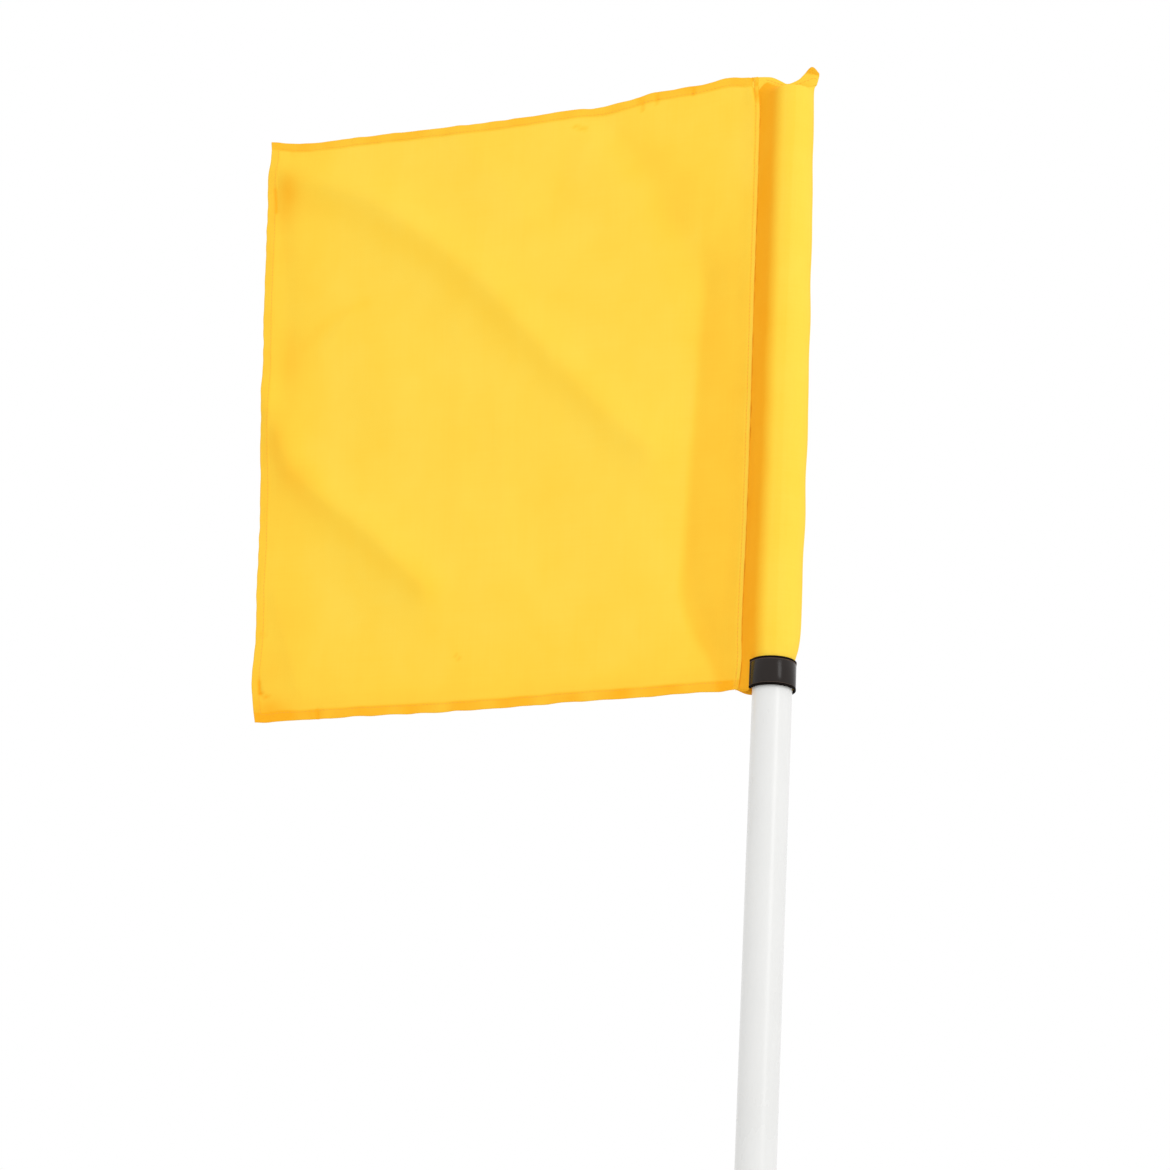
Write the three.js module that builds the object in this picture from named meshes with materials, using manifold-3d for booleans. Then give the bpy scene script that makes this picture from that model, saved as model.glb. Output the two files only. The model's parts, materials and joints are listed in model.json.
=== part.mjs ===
import * as THREE from "three";
import { mergeVertices } from "three/addons/utils/BufferGeometryUtils.js";
import Module from "manifold-3d";

// A corner flag for a playing field: a cloth flag on a white plastic pole, held by a black
// snap clip, standing on a close-wound spring and a steel spike that is pushed into the turf.
// Millimetres, +Z up. The origin is where the pole's axis meets the ground, on the underside
// of the foot disc. The cloth streams towards -X.

const wasm = await Module();
wasm.setup();

// Fits
const SEAT_GAP = 0.3;
const CUT_OVERRUN = 1;
const MERGE_TOLERANCE = 0.001;
const ROUND_SIDES = 48;
const SMALL_SIDES = 24;
const ARC_STEPS = 5;
const SMALL_ARC_STEPS = 3;

// Spike
const SPIKE_DIAMETER = 12;
const SPIKE_DEPTH = 230;
const SPIKE_POINT_LENGTH = 38;
const SPIKE_TIP_RADIUS = 1;
const SPIKE_COLLAR_DIAMETER = 20;
const SPIKE_COLLAR_HEIGHT = 5;
const STEM_DIAMETER = 10;
const STEM_CHAMFER = 1;

// Foot disc, washer and nut
const FOOT_DIAMETER = 64;
const FOOT_THICKNESS = 3;
const FOOT_EDGE_RADIUS = 1.2;
const FOOT_RECESS_DEPTH = 1;
const FOOT_RECESS_CLEARANCE = 1;
const WASHER_DIAMETER = 20;
const WASHER_THICKNESS = 2;
const NUT_ACROSS_FLATS = 17;
const NUT_HEIGHT = 8;
const HEX_CHAMFER_REACH = 1.2;
const HEX_CHAMFER_DROP = 0.6;

// Spring studs, one in each end of the spring
const STUD_FLANGE_DIAMETER = 31;
const STUD_FLANGE_THICKNESS = 3;
const STUD_BOSS_ACROSS_FLATS = 22;
const STUD_BOSS_HEIGHT = 10;
const STUD_SPIGOT_HEIGHT = 15;
const STUD_CROWN_HEIGHT = 3;
const STUD_STEM_GRIP = 5;
const STUD_REGISTER_DIAMETER = 16;
const STUD_REGISTER_HEIGHT = 12;
const LUG_LENGTH = 2.2;
const LUG_HEIGHT = 3;
const PIN_DIAMETER = 3.2;
const PIN_OVERHANG = 1;
const PIN_CHAMFER = 0.5;

// Spring
const WIRE_DIAMETER = 3.5;
const COIL_DIAMETER = 24.5;
const COIL_GAP = 0.6;
const SPRING_TURNS = 14;
const COIL_STEPS = 8;
const WIRE_SIDES = 5;
const PIN_TURN_SHARE = 1 / 12;
const PIN_CLEAR_TURN_SHARE = 0.027;

// Pole
const POLE_DIAMETER = 30;
const POLE_WALL = 2;
const POLE_LENGTH = 1500;

// Plug in the pole's lower end
const PLUG_FLANGE_HEIGHT = 4;
const PLUG_LENGTH = 62;
const PLUG_RIB_DEPTH = 1.4;
const PLUG_RIB_WIDTH = 3;
const PLUG_RIBS = 12;
const PLUG_LEAD = 2;
const SOCKET_DIAMETER = 18;
const SOCKET_FLOOR_HEIGHT = 22;

// Bolt that ties the plug to the upper stud
const BOLT_DIAMETER = 8;
const BOLT_GRIP = 26;
const BOLT_HEAD_ACROSS_FLATS = 13;
const BOLT_HEAD_HEIGHT = 5.3;
const BOLT_WASHER_DIAMETER = 16;
const BOLT_WASHER_THICKNESS = 1.6;

// Screws through the pole's wall into the plug
const SCREW_COUNT = 3;
const SCREW_HEIGHT = 46;
const SCREW_DIAMETER = 4;
const SCREW_LENGTH = 6;
const SCREW_POINT_LENGTH = 2;
const SCREW_HEAD_DIAMETER = 7.6;
const SCREW_HEAD_HEIGHT = 2.4;

// Cap in the pole's upper end
const CAP_RIM_HEIGHT = 2;
const CAP_CROWN_HEIGHT = 3;
const CAP_EDGE_INSET = 1.5;
const CAP_EDGE_DROP = 0.75;
const CAP_SKIRT_LENGTH = 22;
const CAP_WALL = 2;

// Clip
const CLIP_HEIGHT = 22.5;
const CLIP_WALL = 1.5;
const CLIP_BEVEL = 0.6;
const CLIP_BEVEL_STEPS = 2;
const CLIP_MOUTH_DEGREES = 70;
const CLIP_LIP_RADIUS = 1.1;
const CLIP_STEPS = 32;

// Flag: a sleeve round the pole and a panel sewn to it along the seam
const FLAG_HEIGHT = 514.5;
const PANEL_WIDTH = 421;
const PANEL_SHEAR = 17.2;
const SEAM_REACH = 29;
const SLEEVE_CLOTH = 0.5;
const SLEEVE_SEAM_WIDTH = 2;
const SLEEVE_INNER_TIP = 0.1;
const SLEEVE_SLACK = 3.8;
const SLEEVE_SIDE_SLACK_SHARE = 0.5;
const SLEEVE_FLARE_HEIGHT = 14;
const SLEEVE_FLARE_SLACK_SHARE = 0.7;
const SLEEVE_RIM_SLACK_SHARE = 0.12;
const SLEEVE_PINCH_DEGREES = 2;
const SLEEVE_ARC_STEPS = 24;
const SLEEVE_STRAIGHT_STEPS = 2;
const SEAM_RISE = 15.6;
const DIP_RISE = 5;
const DIP_PLACE = -6;
const DIP_WIDTH = 14;
const EAR_RISE = 17.4;
const EAR_REACH = 21;
const TOP_FOLD_THICKNESS = 2;
const TOP_FOLD_DEPTH = 1.2;
const PANEL_THICKNESS = 1.2;
const HEM_THICKNESS = 2;
const HEM_WIDTH = 8;
const HEM_STEP = 1.2;
const PANEL_COLUMNS = 22;
const PANEL_ROWS = 17;
const BEAD_STEPS = 4;
const FOLD_DEPTH = 7;
const SEAM_CALM_SHARE = 0.06;
const TOP_SAG = 7;
const TOP_SAG_REACH_SHARE = 0.3;

// Slack of the sleeve up the pole, from the clip's top to the pole's top: share of the height
// and share of the most slack
const SLEEVE_STATION_SHARES = [
  [0.19, 0.95],
  [0.35, 1],
  [0.51, 0.97],
  [0.67, 0.67],
  [0.83, 0.48],
  [0.97, 0.2],
];

// Sag of the panel's top edge: share of the panel's width from the seam and share of the sag
const TOP_SAG_SHARES = [
  [0, 0],
  [0.05, -0.5],
  [0.2, 0.1],
  [0.32, 1],
  [0.72, 0.9],
  [0.93, 0.5],
  [1, 0],
];

// Main folds of the panel: each runs between two places, given as shares of the panel's width
// from the seam and of its height from the bottom, with its half width and depth as shares too
const FOLD_SHARES = [
  { from: [1.0, 0.97], to: [0.2, 0.4], width: 0.085, depth: 1 },
  { from: [1.0, 0.5], to: [0.62, 0.17], width: 0.07, depth: 0.8 },
  { from: [0.3, 1.0], to: [0.13, 0.66], width: 0.1, depth: -0.6 },
  { from: [0.13, 0.66], to: [0.06, 0.06], width: 0.09, depth: -0.75 },
  { from: [0.99, 0.93], to: [0.93, 0.74], width: 0.04, depth: -0.5 },
];

// Worked out from the sizes above
const POLE_RADIUS = POLE_DIAMETER / 2;
const BORE_RADIUS = POLE_RADIUS - POLE_WALL;
const COIL_RADIUS = COIL_DIAMETER / 2;
const WIRE_RADIUS = WIRE_DIAMETER / 2;
const STEM_RADIUS = STEM_DIAMETER / 2;
const PIN_RADIUS = PIN_DIAMETER / 2;
const COIL_PITCH = WIRE_DIAMETER + COIL_GAP;
const CLIMB = WIRE_DIAMETER + PIN_DIAMETER + 3 * SEAT_GAP;
const FLAT_TURNS = 0.5 + PIN_TURN_SHARE + PIN_CLEAR_TURN_SHARE;
const LIFT_TURNS = 1 + PIN_TURN_SHARE - PIN_CLEAR_TURN_SHARE;
const WIRE_RISE = 2 * endRise(SPRING_TURNS / 2);
const SPRING_HEIGHT = WIRE_RISE + WIRE_DIAMETER + 2 * SEAT_GAP;
const SPIGOT_RADIUS = (COIL_RADIUS - WIRE_RADIUS) * Math.cos(Math.PI / COIL_STEPS) - SEAT_GAP;
const PIN_HEIGHT = WIRE_DIAMETER + 2 * SEAT_GAP + PIN_RADIUS;

// Heights up the pole's axis
const WASHER_BOTTOM = FOOT_THICKNESS + SEAT_GAP;
const NUT_BOTTOM = WASHER_BOTTOM + WASHER_THICKNESS + SEAT_GAP;
const BOSS_BOTTOM = NUT_BOTTOM + NUT_HEIGHT + SEAT_GAP;
const SPRING_BOTTOM = BOSS_BOTTOM + STUD_BOSS_HEIGHT + STUD_FLANGE_THICKNESS;
const SPRING_TOP = SPRING_BOTTOM + SPRING_HEIGHT;
const PLUG_BOTTOM = SPRING_TOP + STUD_FLANGE_THICKNESS + SEAT_GAP;
const POLE_BOTTOM = PLUG_BOTTOM + PLUG_FLANGE_HEIGHT + SEAT_GAP;
const POLE_TOP = POLE_BOTTOM + POLE_LENGTH;
const CAP_RIM_TOP = POLE_TOP + SEAT_GAP + CAP_RIM_HEIGHT;
const CROWN_TOP = CAP_RIM_TOP + CAP_CROWN_HEIGHT;
const FLAG_BOTTOM = CROWN_TOP + SEAM_RISE - FLAG_HEIGHT;

// Sleeve and clip, one round the other
const SLEEVE_RADIUS = POLE_RADIUS + SEAT_GAP + SLEEVE_CLOTH;
const CLIP_BORE_RADIUS = (SLEEVE_RADIUS + SEAT_GAP) / Math.cos(Math.PI / ROUND_SIDES);
const CLIP_RADIUS = CLIP_BORE_RADIUS + CLIP_WALL;
const SEAM_BEAD_RADIUS = PANEL_THICKNESS / 2;
const SLEEVE_TIP = SEAM_REACH - SEAM_BEAD_RADIUS - SEAT_GAP;
const MOUTH_ANGLE = THREE.MathUtils.degToRad(CLIP_MOUTH_DEGREES / 2);
const PINCH_ANGLE = MOUTH_ANGLE - THREE.MathUtils.degToRad(SLEEVE_PINCH_DEGREES);

// Finishes
const FINISHES = {
  galvanised: new THREE.MeshStandardMaterial({ color: 0x9a9c9e, roughness: 0.45, metalness: 1 }),
  springSteel: new THREE.MeshStandardMaterial({ color: 0x3c3e40, roughness: 0.4, metalness: 1 }),
  whitePlastic: new THREE.MeshStandardMaterial({ color: 0xeeeeec, roughness: 0.28, metalness: 0 }),
  blackPlastic: new THREE.MeshStandardMaterial({ color: 0x1d1c1c, roughness: 0.35, metalness: 0 }),
  flagCloth: new THREE.MeshStandardMaterial({ color: 0xfecf45, roughness: 0.75, metalness: 0 }),
};

// The closed solid that a geometry bounds, with its shared points merged.
function solidOf(geometry) {
  const loose = geometry.index ? geometry.toNonIndexed() : geometry;
  const bare = new THREE.BufferGeometry();
  bare.setAttribute("position", loose.getAttribute("position"));
  const merged = mergeVertices(bare, MERGE_TOLERANCE);
  const index = merged.index.array;
  const corners = [];
  for (let i = 0; i < index.length; i += 3) {
    const [a, b, c] = index.slice(i, i + 3);
    if (a !== b && b !== c && c !== a) corners.push(a, b, c);
  }
  const vertProperties = merged.attributes.position.array;
  const triVerts = new Uint32Array(corners);
  return new wasm.Manifold(new wasm.Mesh({ numProp: 3, vertProperties, triVerts }));
}

function geometryOf(solid) {
  const { vertProperties, triVerts } = solid.getMesh();
  const geometry = new THREE.BufferGeometry();
  geometry.setAttribute("position", new THREE.BufferAttribute(vertProperties, 3));
  geometry.setIndex(new THREE.BufferAttribute(triVerts, 1));
  const faceted = geometry.toNonIndexed();
  faceted.computeVertexNormals();
  return faceted;
}

function piece(name, solid, finish, height = 0) {
  const mesh = new THREE.Mesh(geometryOf(solid), FINISHES[finish]);
  mesh.name = name;
  mesh.position.z = height;
  return mesh;
}

// A revolve round +Z of [radius, height] pairs, listed up the outside.
function turned(profile, sides = ROUND_SIDES) {
  const points = profile.map(([radius, height]) => new THREE.Vector2(radius, height));
  return solidOf(new THREE.LatheGeometry(points, sides).rotateX(Math.PI / 2));
}

// A revolved ring with a bore, its profile closed on itself.
function turnedRing(profile, sides = ROUND_SIDES) {
  return turned([...profile, profile[0]], sides);
}

function rod(radius, low, high, sides = SMALL_SIDES) {
  const profile = [[0, low], [radius, low], [radius, high], [0, high]];
  return turned(profile, sides);
}

// Points of a round edge, from angle a to angle b, in [radius, height] pairs.
function roundEdge(radius, height, edgeRadius, a, b) {
  const points = [];
  for (let i = 0; i <= SMALL_ARC_STEPS; i++) {
    const angle = THREE.MathUtils.lerp(a, b, i / SMALL_ARC_STEPS);
    points.push([radius + edgeRadius * Math.cos(angle), height + edgeRadius * Math.sin(angle)]);
  }
  return points;
}

function turnAside(solid, axis, angle) {
  const matrix = new THREE.Matrix4().makeRotationAxis(axis, angle);
  return solid.transform(matrix.elements);
}

// A hexagonal block with turned-off corners, from height 0 up.
function hexBlock(acrossFlats, height) {
  const corner = acrossFlats / Math.sqrt(3);
  const sides = 6;
  const prism = rod(corner, 0, height, sides);
  const lens = turned([
    [0, 0],
    [acrossFlats / 2, 0],
    [acrossFlats / 2 + HEX_CHAMFER_REACH, HEX_CHAMFER_DROP],
    [acrossFlats / 2 + HEX_CHAMFER_REACH, height - HEX_CHAMFER_DROP],
    [acrossFlats / 2, height],
    [0, height],
  ]);
  return prism.intersect(lens);
}

// Triangles that fill a ring of points like the rungs of a ladder, from its two ends inwards.
// Every ring here mirrors itself, so that its first and last points face each other.
function rungs(count) {
  const triangles = [];
  for (let i = 0; i + 1 < count - 1 - i; i++) {
    const mirror = count - 1 - i;
    triangles.push([i, i + 1, mirror]);
    if (i + 1 < mirror - 1) triangles.push([i + 1, mirror - 1, mirror]);
  }
  return triangles;
}

// A skin over closed rings of points, which turn counterclockwise as seen from the last ring,
// shut at both ends.
function loft(rings) {
  const count = rings[0].length;
  const positions = [];
  const face = (...points) => points.forEach((point) => positions.push(...point.toArray()));
  for (let r = 0; r + 1 < rings.length; r++) {
    for (let i = 0; i < count; i++) {
      const j = (i + 1) % count;
      const [low, high] = [rings[r], rings[r + 1]];
      face(low[i], low[j], high[j]);
      face(low[i], high[j], high[i]);
    }
  }
  const first = rings[0];
  const last = rings[rings.length - 1];
  for (const [a, b, c] of rungs(count)) {
    face(first[c], first[b], first[a]);
    face(last[a], last[b], last[c]);
  }
  const geometry = new THREE.BufferGeometry();
  geometry.setAttribute("position", new THREE.Float32BufferAttribute(positions, 3));
  return solidOf(geometry);
}

function spikeRod() {
  const radius = SPIKE_DIAMETER / 2;
  const collarRadius = SPIKE_COLLAR_DIAMETER / 2;
  const collarTop = FOOT_RECESS_DEPTH - SEAT_GAP;
  const stemTop = BOSS_BOTTOM + STUD_BOSS_HEIGHT + STUD_STEM_GRIP;
  return turned([
    [0, -SPIKE_DEPTH],
    [SPIKE_TIP_RADIUS, -SPIKE_DEPTH],
    [radius, SPIKE_POINT_LENGTH - SPIKE_DEPTH],
    [radius, collarTop - SPIKE_COLLAR_HEIGHT - STEM_CHAMFER],
    [collarRadius, collarTop - SPIKE_COLLAR_HEIGHT + STEM_CHAMFER],
    [collarRadius, collarTop],
    [STEM_RADIUS, collarTop],
    [STEM_RADIUS, stemTop - STEM_CHAMFER],
    [STEM_RADIUS - STEM_CHAMFER, stemTop],
    [0, stemTop],
  ], SMALL_SIDES);
}

// Flat disc with a shallow recess under it, where the spike's collar seats.
function footDisc() {
  const hole = STEM_RADIUS + SEAT_GAP;
  const recess = SPIKE_COLLAR_DIAMETER / 2 + FOOT_RECESS_CLEARANCE;
  const rim = FOOT_DIAMETER / 2;
  const edge = roundEdge(rim - FOOT_EDGE_RADIUS, FOOT_THICKNESS - FOOT_EDGE_RADIUS,
    FOOT_EDGE_RADIUS, 0, Math.PI / 2);
  return turnedRing([
    [hole, FOOT_RECESS_DEPTH],
    [recess, FOOT_RECESS_DEPTH],
    [recess, 0],
    [rim, 0],
    ...edge,
    [hole, FOOT_THICKNESS],
  ]);
}

function flatWasher(diameter, boreRadius, thickness) {
  const rim = diameter / 2;
  return turnedRing([[boreRadius, 0], [rim, 0], [rim, thickness], [boreRadius, thickness]],
    SMALL_SIDES);
}

function footNut() {
  const bore = rod(STEM_RADIUS + SEAT_GAP, -CUT_OVERRUN, NUT_HEIGHT + CUT_OVERRUN);
  return hexBlock(NUT_ACROSS_FLATS, NUT_HEIGHT).subtract(bore);
}

// The end of a stud that the spring sits on: flange below height 0, spigot above it, a lug
// for the wire's cut end and a hole for the cross pin.
function studHead() {
  const flangeRadius = STUD_FLANGE_DIAMETER / 2;
  const shoulder = STUD_SPIGOT_HEIGHT - STUD_CROWN_HEIGHT;
  const crown = [];
  for (let i = 0; i <= ARC_STEPS; i++) {
    const angle = (Math.PI / 2) * (i / ARC_STEPS);
    crown.push([SPIGOT_RADIUS * Math.cos(angle), shoulder + STUD_CROWN_HEIGHT * Math.sin(angle)]);
  }
  const body = turned([
    [0, -STUD_FLANGE_THICKNESS],
    [flangeRadius, -STUD_FLANGE_THICKNESS],
    [flangeRadius, 0],
    [SPIGOT_RADIUS, 0],
    ...crown,
  ]);
  const lugHeight = LUG_HEIGHT + CUT_OVERRUN;
  const lug = solidOf(new THREE.BoxGeometry(WIRE_DIAMETER, LUG_LENGTH, lugHeight).translate(
    COIL_RADIUS,
    -(WIRE_DIAMETER + SEAT_GAP + LUG_LENGTH / 2),
    LUG_HEIGHT - lugHeight / 2,
  ));
  return body.add(lug).subtract(crossBore());
}

function pinDirection() {
  const angle = 2 * Math.PI * PIN_TURN_SHARE;
  return new THREE.Vector3(-Math.sin(angle), Math.cos(angle), 0);
}

// Lays a solid made along +Z across the stud, at the cross pin's place.
function layAcross(solid) {
  return turnAside(solid, pinDirection(), Math.PI / 2).translate([0, 0, PIN_HEIGHT]);
}

function crossBore() {
  const reach = SPIGOT_RADIUS + CUT_OVERRUN;
  return layAcross(rod(PIN_RADIUS + SEAT_GAP, -reach, reach));
}

function crossPin() {
  const half = COIL_RADIUS + WIRE_RADIUS + PIN_OVERHANG;
  return layAcross(turned([
    [0, -half],
    [PIN_RADIUS - PIN_CHAMFER, -half],
    [PIN_RADIUS, -half + PIN_CHAMFER],
    [PIN_RADIUS, half - PIN_CHAMFER],
    [PIN_RADIUS - PIN_CHAMFER, half],
    [0, half],
  ], SMALL_SIDES));
}

function lowerStud() {
  const bossBottom = -STUD_FLANGE_THICKNESS - STUD_BOSS_HEIGHT;
  const boss = hexBlock(STUD_BOSS_ACROSS_FLATS, STUD_BOSS_HEIGHT).translate([0, 0, bossBottom]);
  const boreTop = STUD_STEM_GRIP - STUD_FLANGE_THICKNESS + SEAT_GAP;
  const bore = rod(STEM_RADIUS + SEAT_GAP, bossBottom - CUT_OVERRUN, boreTop);
  return studHead().add(boss).subtract(bore);
}

function upperStud() {
  const registerEnd = -STUD_FLANGE_THICKNESS - STUD_REGISTER_HEIGHT;
  const register = turned([
    [0, registerEnd],
    [STUD_REGISTER_DIAMETER / 2 - STEM_CHAMFER, registerEnd],
    [STUD_REGISTER_DIAMETER / 2, registerEnd + STEM_CHAMFER],
    [STUD_REGISTER_DIAMETER / 2, -STUD_FLANGE_THICKNESS],
    [0, -STUD_FLANGE_THICKNESS],
  ], SMALL_SIDES);
  const bore = rod(BOLT_DIAMETER / 2 + SEAT_GAP, registerEnd - CUT_OVERRUN, boltBoreEnd());
  return studHead().add(register).subtract(bore);
}

// Where the upper stud's tapped bore ends, just past the end of the bolt.
function boltBoreEnd() {
  const stack = STUD_FLANGE_THICKNESS + SOCKET_FLOOR_HEIGHT + BOLT_WASHER_THICKNESS;
  return BOLT_GRIP - stack - 2 * SEAT_GAP;
}

// Height that the wire has gained some turns after one of its ends: a flat end coil under the
// cross pin, a climb over the pin, and then the working coils.
function endRise(turns) {
  const climb = THREE.MathUtils.smoothstep(turns, FLAT_TURNS, LIFT_TURNS) * CLIMB;
  return climb + Math.max(0, turns - LIFT_TURNS) * COIL_PITCH;
}

function wirePoint(turns) {
  const half = SPRING_TURNS / 2;
  const rise = turns <= half ? endRise(turns) : WIRE_RISE - endRise(SPRING_TURNS - turns);
  const angle = 2 * Math.PI * turns;
  return new THREE.Vector3(COIL_RADIUS * Math.cos(angle), COIL_RADIUS * Math.sin(angle),
    SEAT_GAP + WIRE_RADIUS + rise);
}

// The wire's centre line, with a straight run of one wire diameter at each end.
function wirePath() {
  const path = [];
  for (let step = 0; step <= SPRING_TURNS * COIL_STEPS; step++) {
    const turns = step / COIL_STEPS;
    path.push({ centre: wirePoint(turns), angle: 2 * Math.PI * turns });
  }
  const straight = (end, side) => ({
    centre: end.centre.clone().addScaledVector(heading(end.angle), side * WIRE_DIAMETER),
    angle: end.angle,
  });
  return [straight(path[0], -1), ...path, straight(path[path.length - 1], 1)];
}

function heading(angle) {
  return new THREE.Vector3(-Math.sin(angle), Math.cos(angle), 0);
}

function coilSpring() {
  const path = wirePath();
  const rings = path.map(({ centre, angle }, i) => {
    const before = path[Math.max(0, i - 1)].centre;
    const after = path[Math.min(path.length - 1, i + 1)].centre;
    const along = after.clone().sub(before).normalize();
    const outward = new THREE.Vector3(Math.cos(angle), Math.sin(angle), 0);
    const up = outward.clone().cross(along).normalize();
    const ring = [];
    for (let side = 0; side < WIRE_SIDES; side++) {
      const turn = (2 * Math.PI * side) / WIRE_SIDES;
      ring.push(centre.clone()
        .addScaledVector(outward, WIRE_RADIUS * Math.cos(turn))
        .addScaledVector(up, WIRE_RADIUS * Math.sin(turn)));
    }
    return ring;
  });
  console.log(`least gap of the spring to itself: ${leastGap(rings).toFixed(2)} mm`);
  return loft(rings.map((ring) => ring.toReversed()));
}

// The least distance between places on the skin that lie half a turn or more apart along the
// wire. Corners, the middles of long edges and the middles of faces are all measured.
function leastGap(rings) {
  const skin = [];
  for (let r = 0; r + 1 < rings.length; r++) {
    for (let side = 0; side < WIRE_SIDES; side++) {
      const next = (side + 1) % WIRE_SIDES;
      const corners = [rings[r][side], rings[r + 1][side], rings[r][next], rings[r + 1][next]];
      const middle = corners.reduce((sum, corner) => sum.add(corner), new THREE.Vector3());
      skin.push({ at: rings[r][side], r }, { at: middle.divideScalar(corners.length), r });
      skin.push({ at: rings[r][side].clone().lerp(rings[r + 1][side], 0.5), r });
    }
  }
  let least = Infinity;
  for (const a of skin) {
    for (const b of skin) {
      if (b.r - a.r < COIL_STEPS / 2) continue;
      least = Math.min(least, a.at.distanceTo(b.at));
    }
  }
  return least;
}

// The screws' angles round the pole, spread evenly from the side away from the flag.
function screwAngles() {
  const angles = [];
  for (let i = 0; i < SCREW_COUNT; i++) {
    angles.push((2 * Math.PI * i) / SCREW_COUNT);
  }
  return angles;
}

// Points a solid made along +Z outwards from the pole's axis, at one screw's angle.
function pointOutwards(solid, angle, height) {
  const level = turnAside(solid, new THREE.Vector3(0, 1, 0), Math.PI / 2);
  return turnAside(level, new THREE.Vector3(0, 0, 1), angle).translate([0, 0, height]);
}

function poleTube() {
  let tube = turnedRing([
    [BORE_RADIUS, 0],
    [POLE_RADIUS, 0],
    [POLE_RADIUS, POLE_LENGTH],
    [BORE_RADIUS, POLE_LENGTH],
  ]);
  const height = SCREW_HEIGHT - PLUG_FLANGE_HEIGHT - SEAT_GAP;
  for (const angle of screwAngles()) {
    const drill = rod(SCREW_DIAMETER / 2 + SEAT_GAP, BORE_RADIUS - CUT_OVERRUN,
      POLE_RADIUS + CUT_OVERRUN);
    tube = tube.subtract(pointOutwards(drill, angle, height));
  }
  return tube;
}

// Moulded plug: a flange under the pole's end, and a ribbed body inside the pole with a socket
// for the bolt's head.
function polePlug() {
  const bodyRadius = BORE_RADIUS - SEAT_GAP - PLUG_RIB_DEPTH;
  const bodyTop = PLUG_FLANGE_HEIGHT + PLUG_LENGTH;
  let plug = turned([
    [0, 0],
    [POLE_RADIUS, 0],
    [POLE_RADIUS, PLUG_FLANGE_HEIGHT],
    [bodyRadius, PLUG_FLANGE_HEIGHT],
    [bodyRadius, bodyTop - PLUG_LEAD],
    [bodyRadius - PLUG_LEAD, bodyTop],
    [0, bodyTop],
  ]);
  const ribHeight = PLUG_LENGTH - 2 * PLUG_LEAD;
  const ribReach = PLUG_RIB_DEPTH + CUT_OVERRUN;
  for (let i = 0; i < PLUG_RIBS; i++) {
    const rib = solidOf(new THREE.BoxGeometry(ribReach, PLUG_RIB_WIDTH, ribHeight).translate(
      bodyRadius + PLUG_RIB_DEPTH - ribReach / 2,
      0,
      PLUG_FLANGE_HEIGHT + ribHeight / 2,
    ));
    plug = plug.add(turnAside(rib, new THREE.Vector3(0, 0, 1), (2 * Math.PI * i) / PLUG_RIBS));
  }
  const envelope = rod(BORE_RADIUS - SEAT_GAP, PLUG_FLANGE_HEIGHT, bodyTop, ROUND_SIDES);
  const flange = rod(POLE_RADIUS, 0, PLUG_FLANGE_HEIGHT, ROUND_SIDES);
  plug = plug.intersect(envelope.add(flange));
  const register = rod(STUD_REGISTER_DIAMETER / 2 + SEAT_GAP, -CUT_OVERRUN,
    STUD_REGISTER_HEIGHT + SEAT_GAP);
  const through = rod(BOLT_DIAMETER / 2 + SEAT_GAP, 0, SOCKET_FLOOR_HEIGHT + CUT_OVERRUN);
  const socket = rod(SOCKET_DIAMETER / 2, SOCKET_FLOOR_HEIGHT, bodyTop + CUT_OVERRUN);
  plug = plug.subtract(register).subtract(through).subtract(socket);
  for (const angle of screwAngles()) {
    const pilot = rod(SCREW_DIAMETER / 2 + SEAT_GAP, 0, POLE_RADIUS);
    plug = plug.subtract(pointOutwards(pilot, angle, SCREW_HEIGHT));
  }
  return plug;
}

// Hexagon bolt, head up, its bearing face at height 0.
function plugBolt() {
  const shank = turned([
    [0, -BOLT_GRIP],
    [BOLT_DIAMETER / 2 - STEM_CHAMFER, -BOLT_GRIP],
    [BOLT_DIAMETER / 2, STEM_CHAMFER - BOLT_GRIP],
    [BOLT_DIAMETER / 2, BOLT_HEAD_HEIGHT / 2],
    [0, BOLT_HEAD_HEIGHT / 2],
  ], SMALL_SIDES);
  return hexBlock(BOLT_HEAD_ACROSS_FLATS, BOLT_HEAD_HEIGHT).add(shank);
}

// Pan-head screw, its point towards the pole's axis.
function plugScrew(angle) {
  const headBottom = POLE_RADIUS + SEAT_GAP;
  const end = headBottom - SCREW_LENGTH;
  const radius = SCREW_DIAMETER / 2;
  const headRadius = SCREW_HEAD_DIAMETER / 2;
  const head = [];
  for (let i = 0; i <= SMALL_ARC_STEPS; i++) {
    const turn = (Math.PI / 2) * (i / SMALL_ARC_STEPS);
    head.push([headRadius * Math.cos(turn), headBottom + SCREW_HEAD_HEIGHT * Math.sin(turn)]);
  }
  const screw = turned([
    [0, end],
    [radius / 2, end],
    [radius, end + SCREW_POINT_LENGTH],
    [radius, headBottom],
    ...head,
  ], SMALL_SIDES);
  return pointOutwards(screw, angle, 0);
}

// Domed cap with a hollow skirt that pushes into the pole, its rim on the pole's end.
function poleTopCap() {
  const skirt = BORE_RADIUS - SEAT_GAP;
  const rimTop = CAP_RIM_HEIGHT;
  const crown = [];
  for (let i = 0; i <= ARC_STEPS; i++) {
    const share = 1 - i / ARC_STEPS;
    crown.push([
      (POLE_RADIUS - CAP_EDGE_INSET) * share,
      rimTop + CAP_CROWN_HEIGHT * (1 - share * share),
    ]);
  }
  return turned([
    [0, rimTop - CAP_WALL],
    [skirt - CAP_WALL, rimTop - CAP_WALL],
    [skirt - CAP_WALL, -CAP_SKIRT_LENGTH],
    [skirt, -CAP_SKIRT_LENGTH],
    [skirt, 0],
    [POLE_RADIUS, 0],
    [POLE_RADIUS, rimTop - CAP_EDGE_DROP],
    ...crown,
  ]);
}

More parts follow.
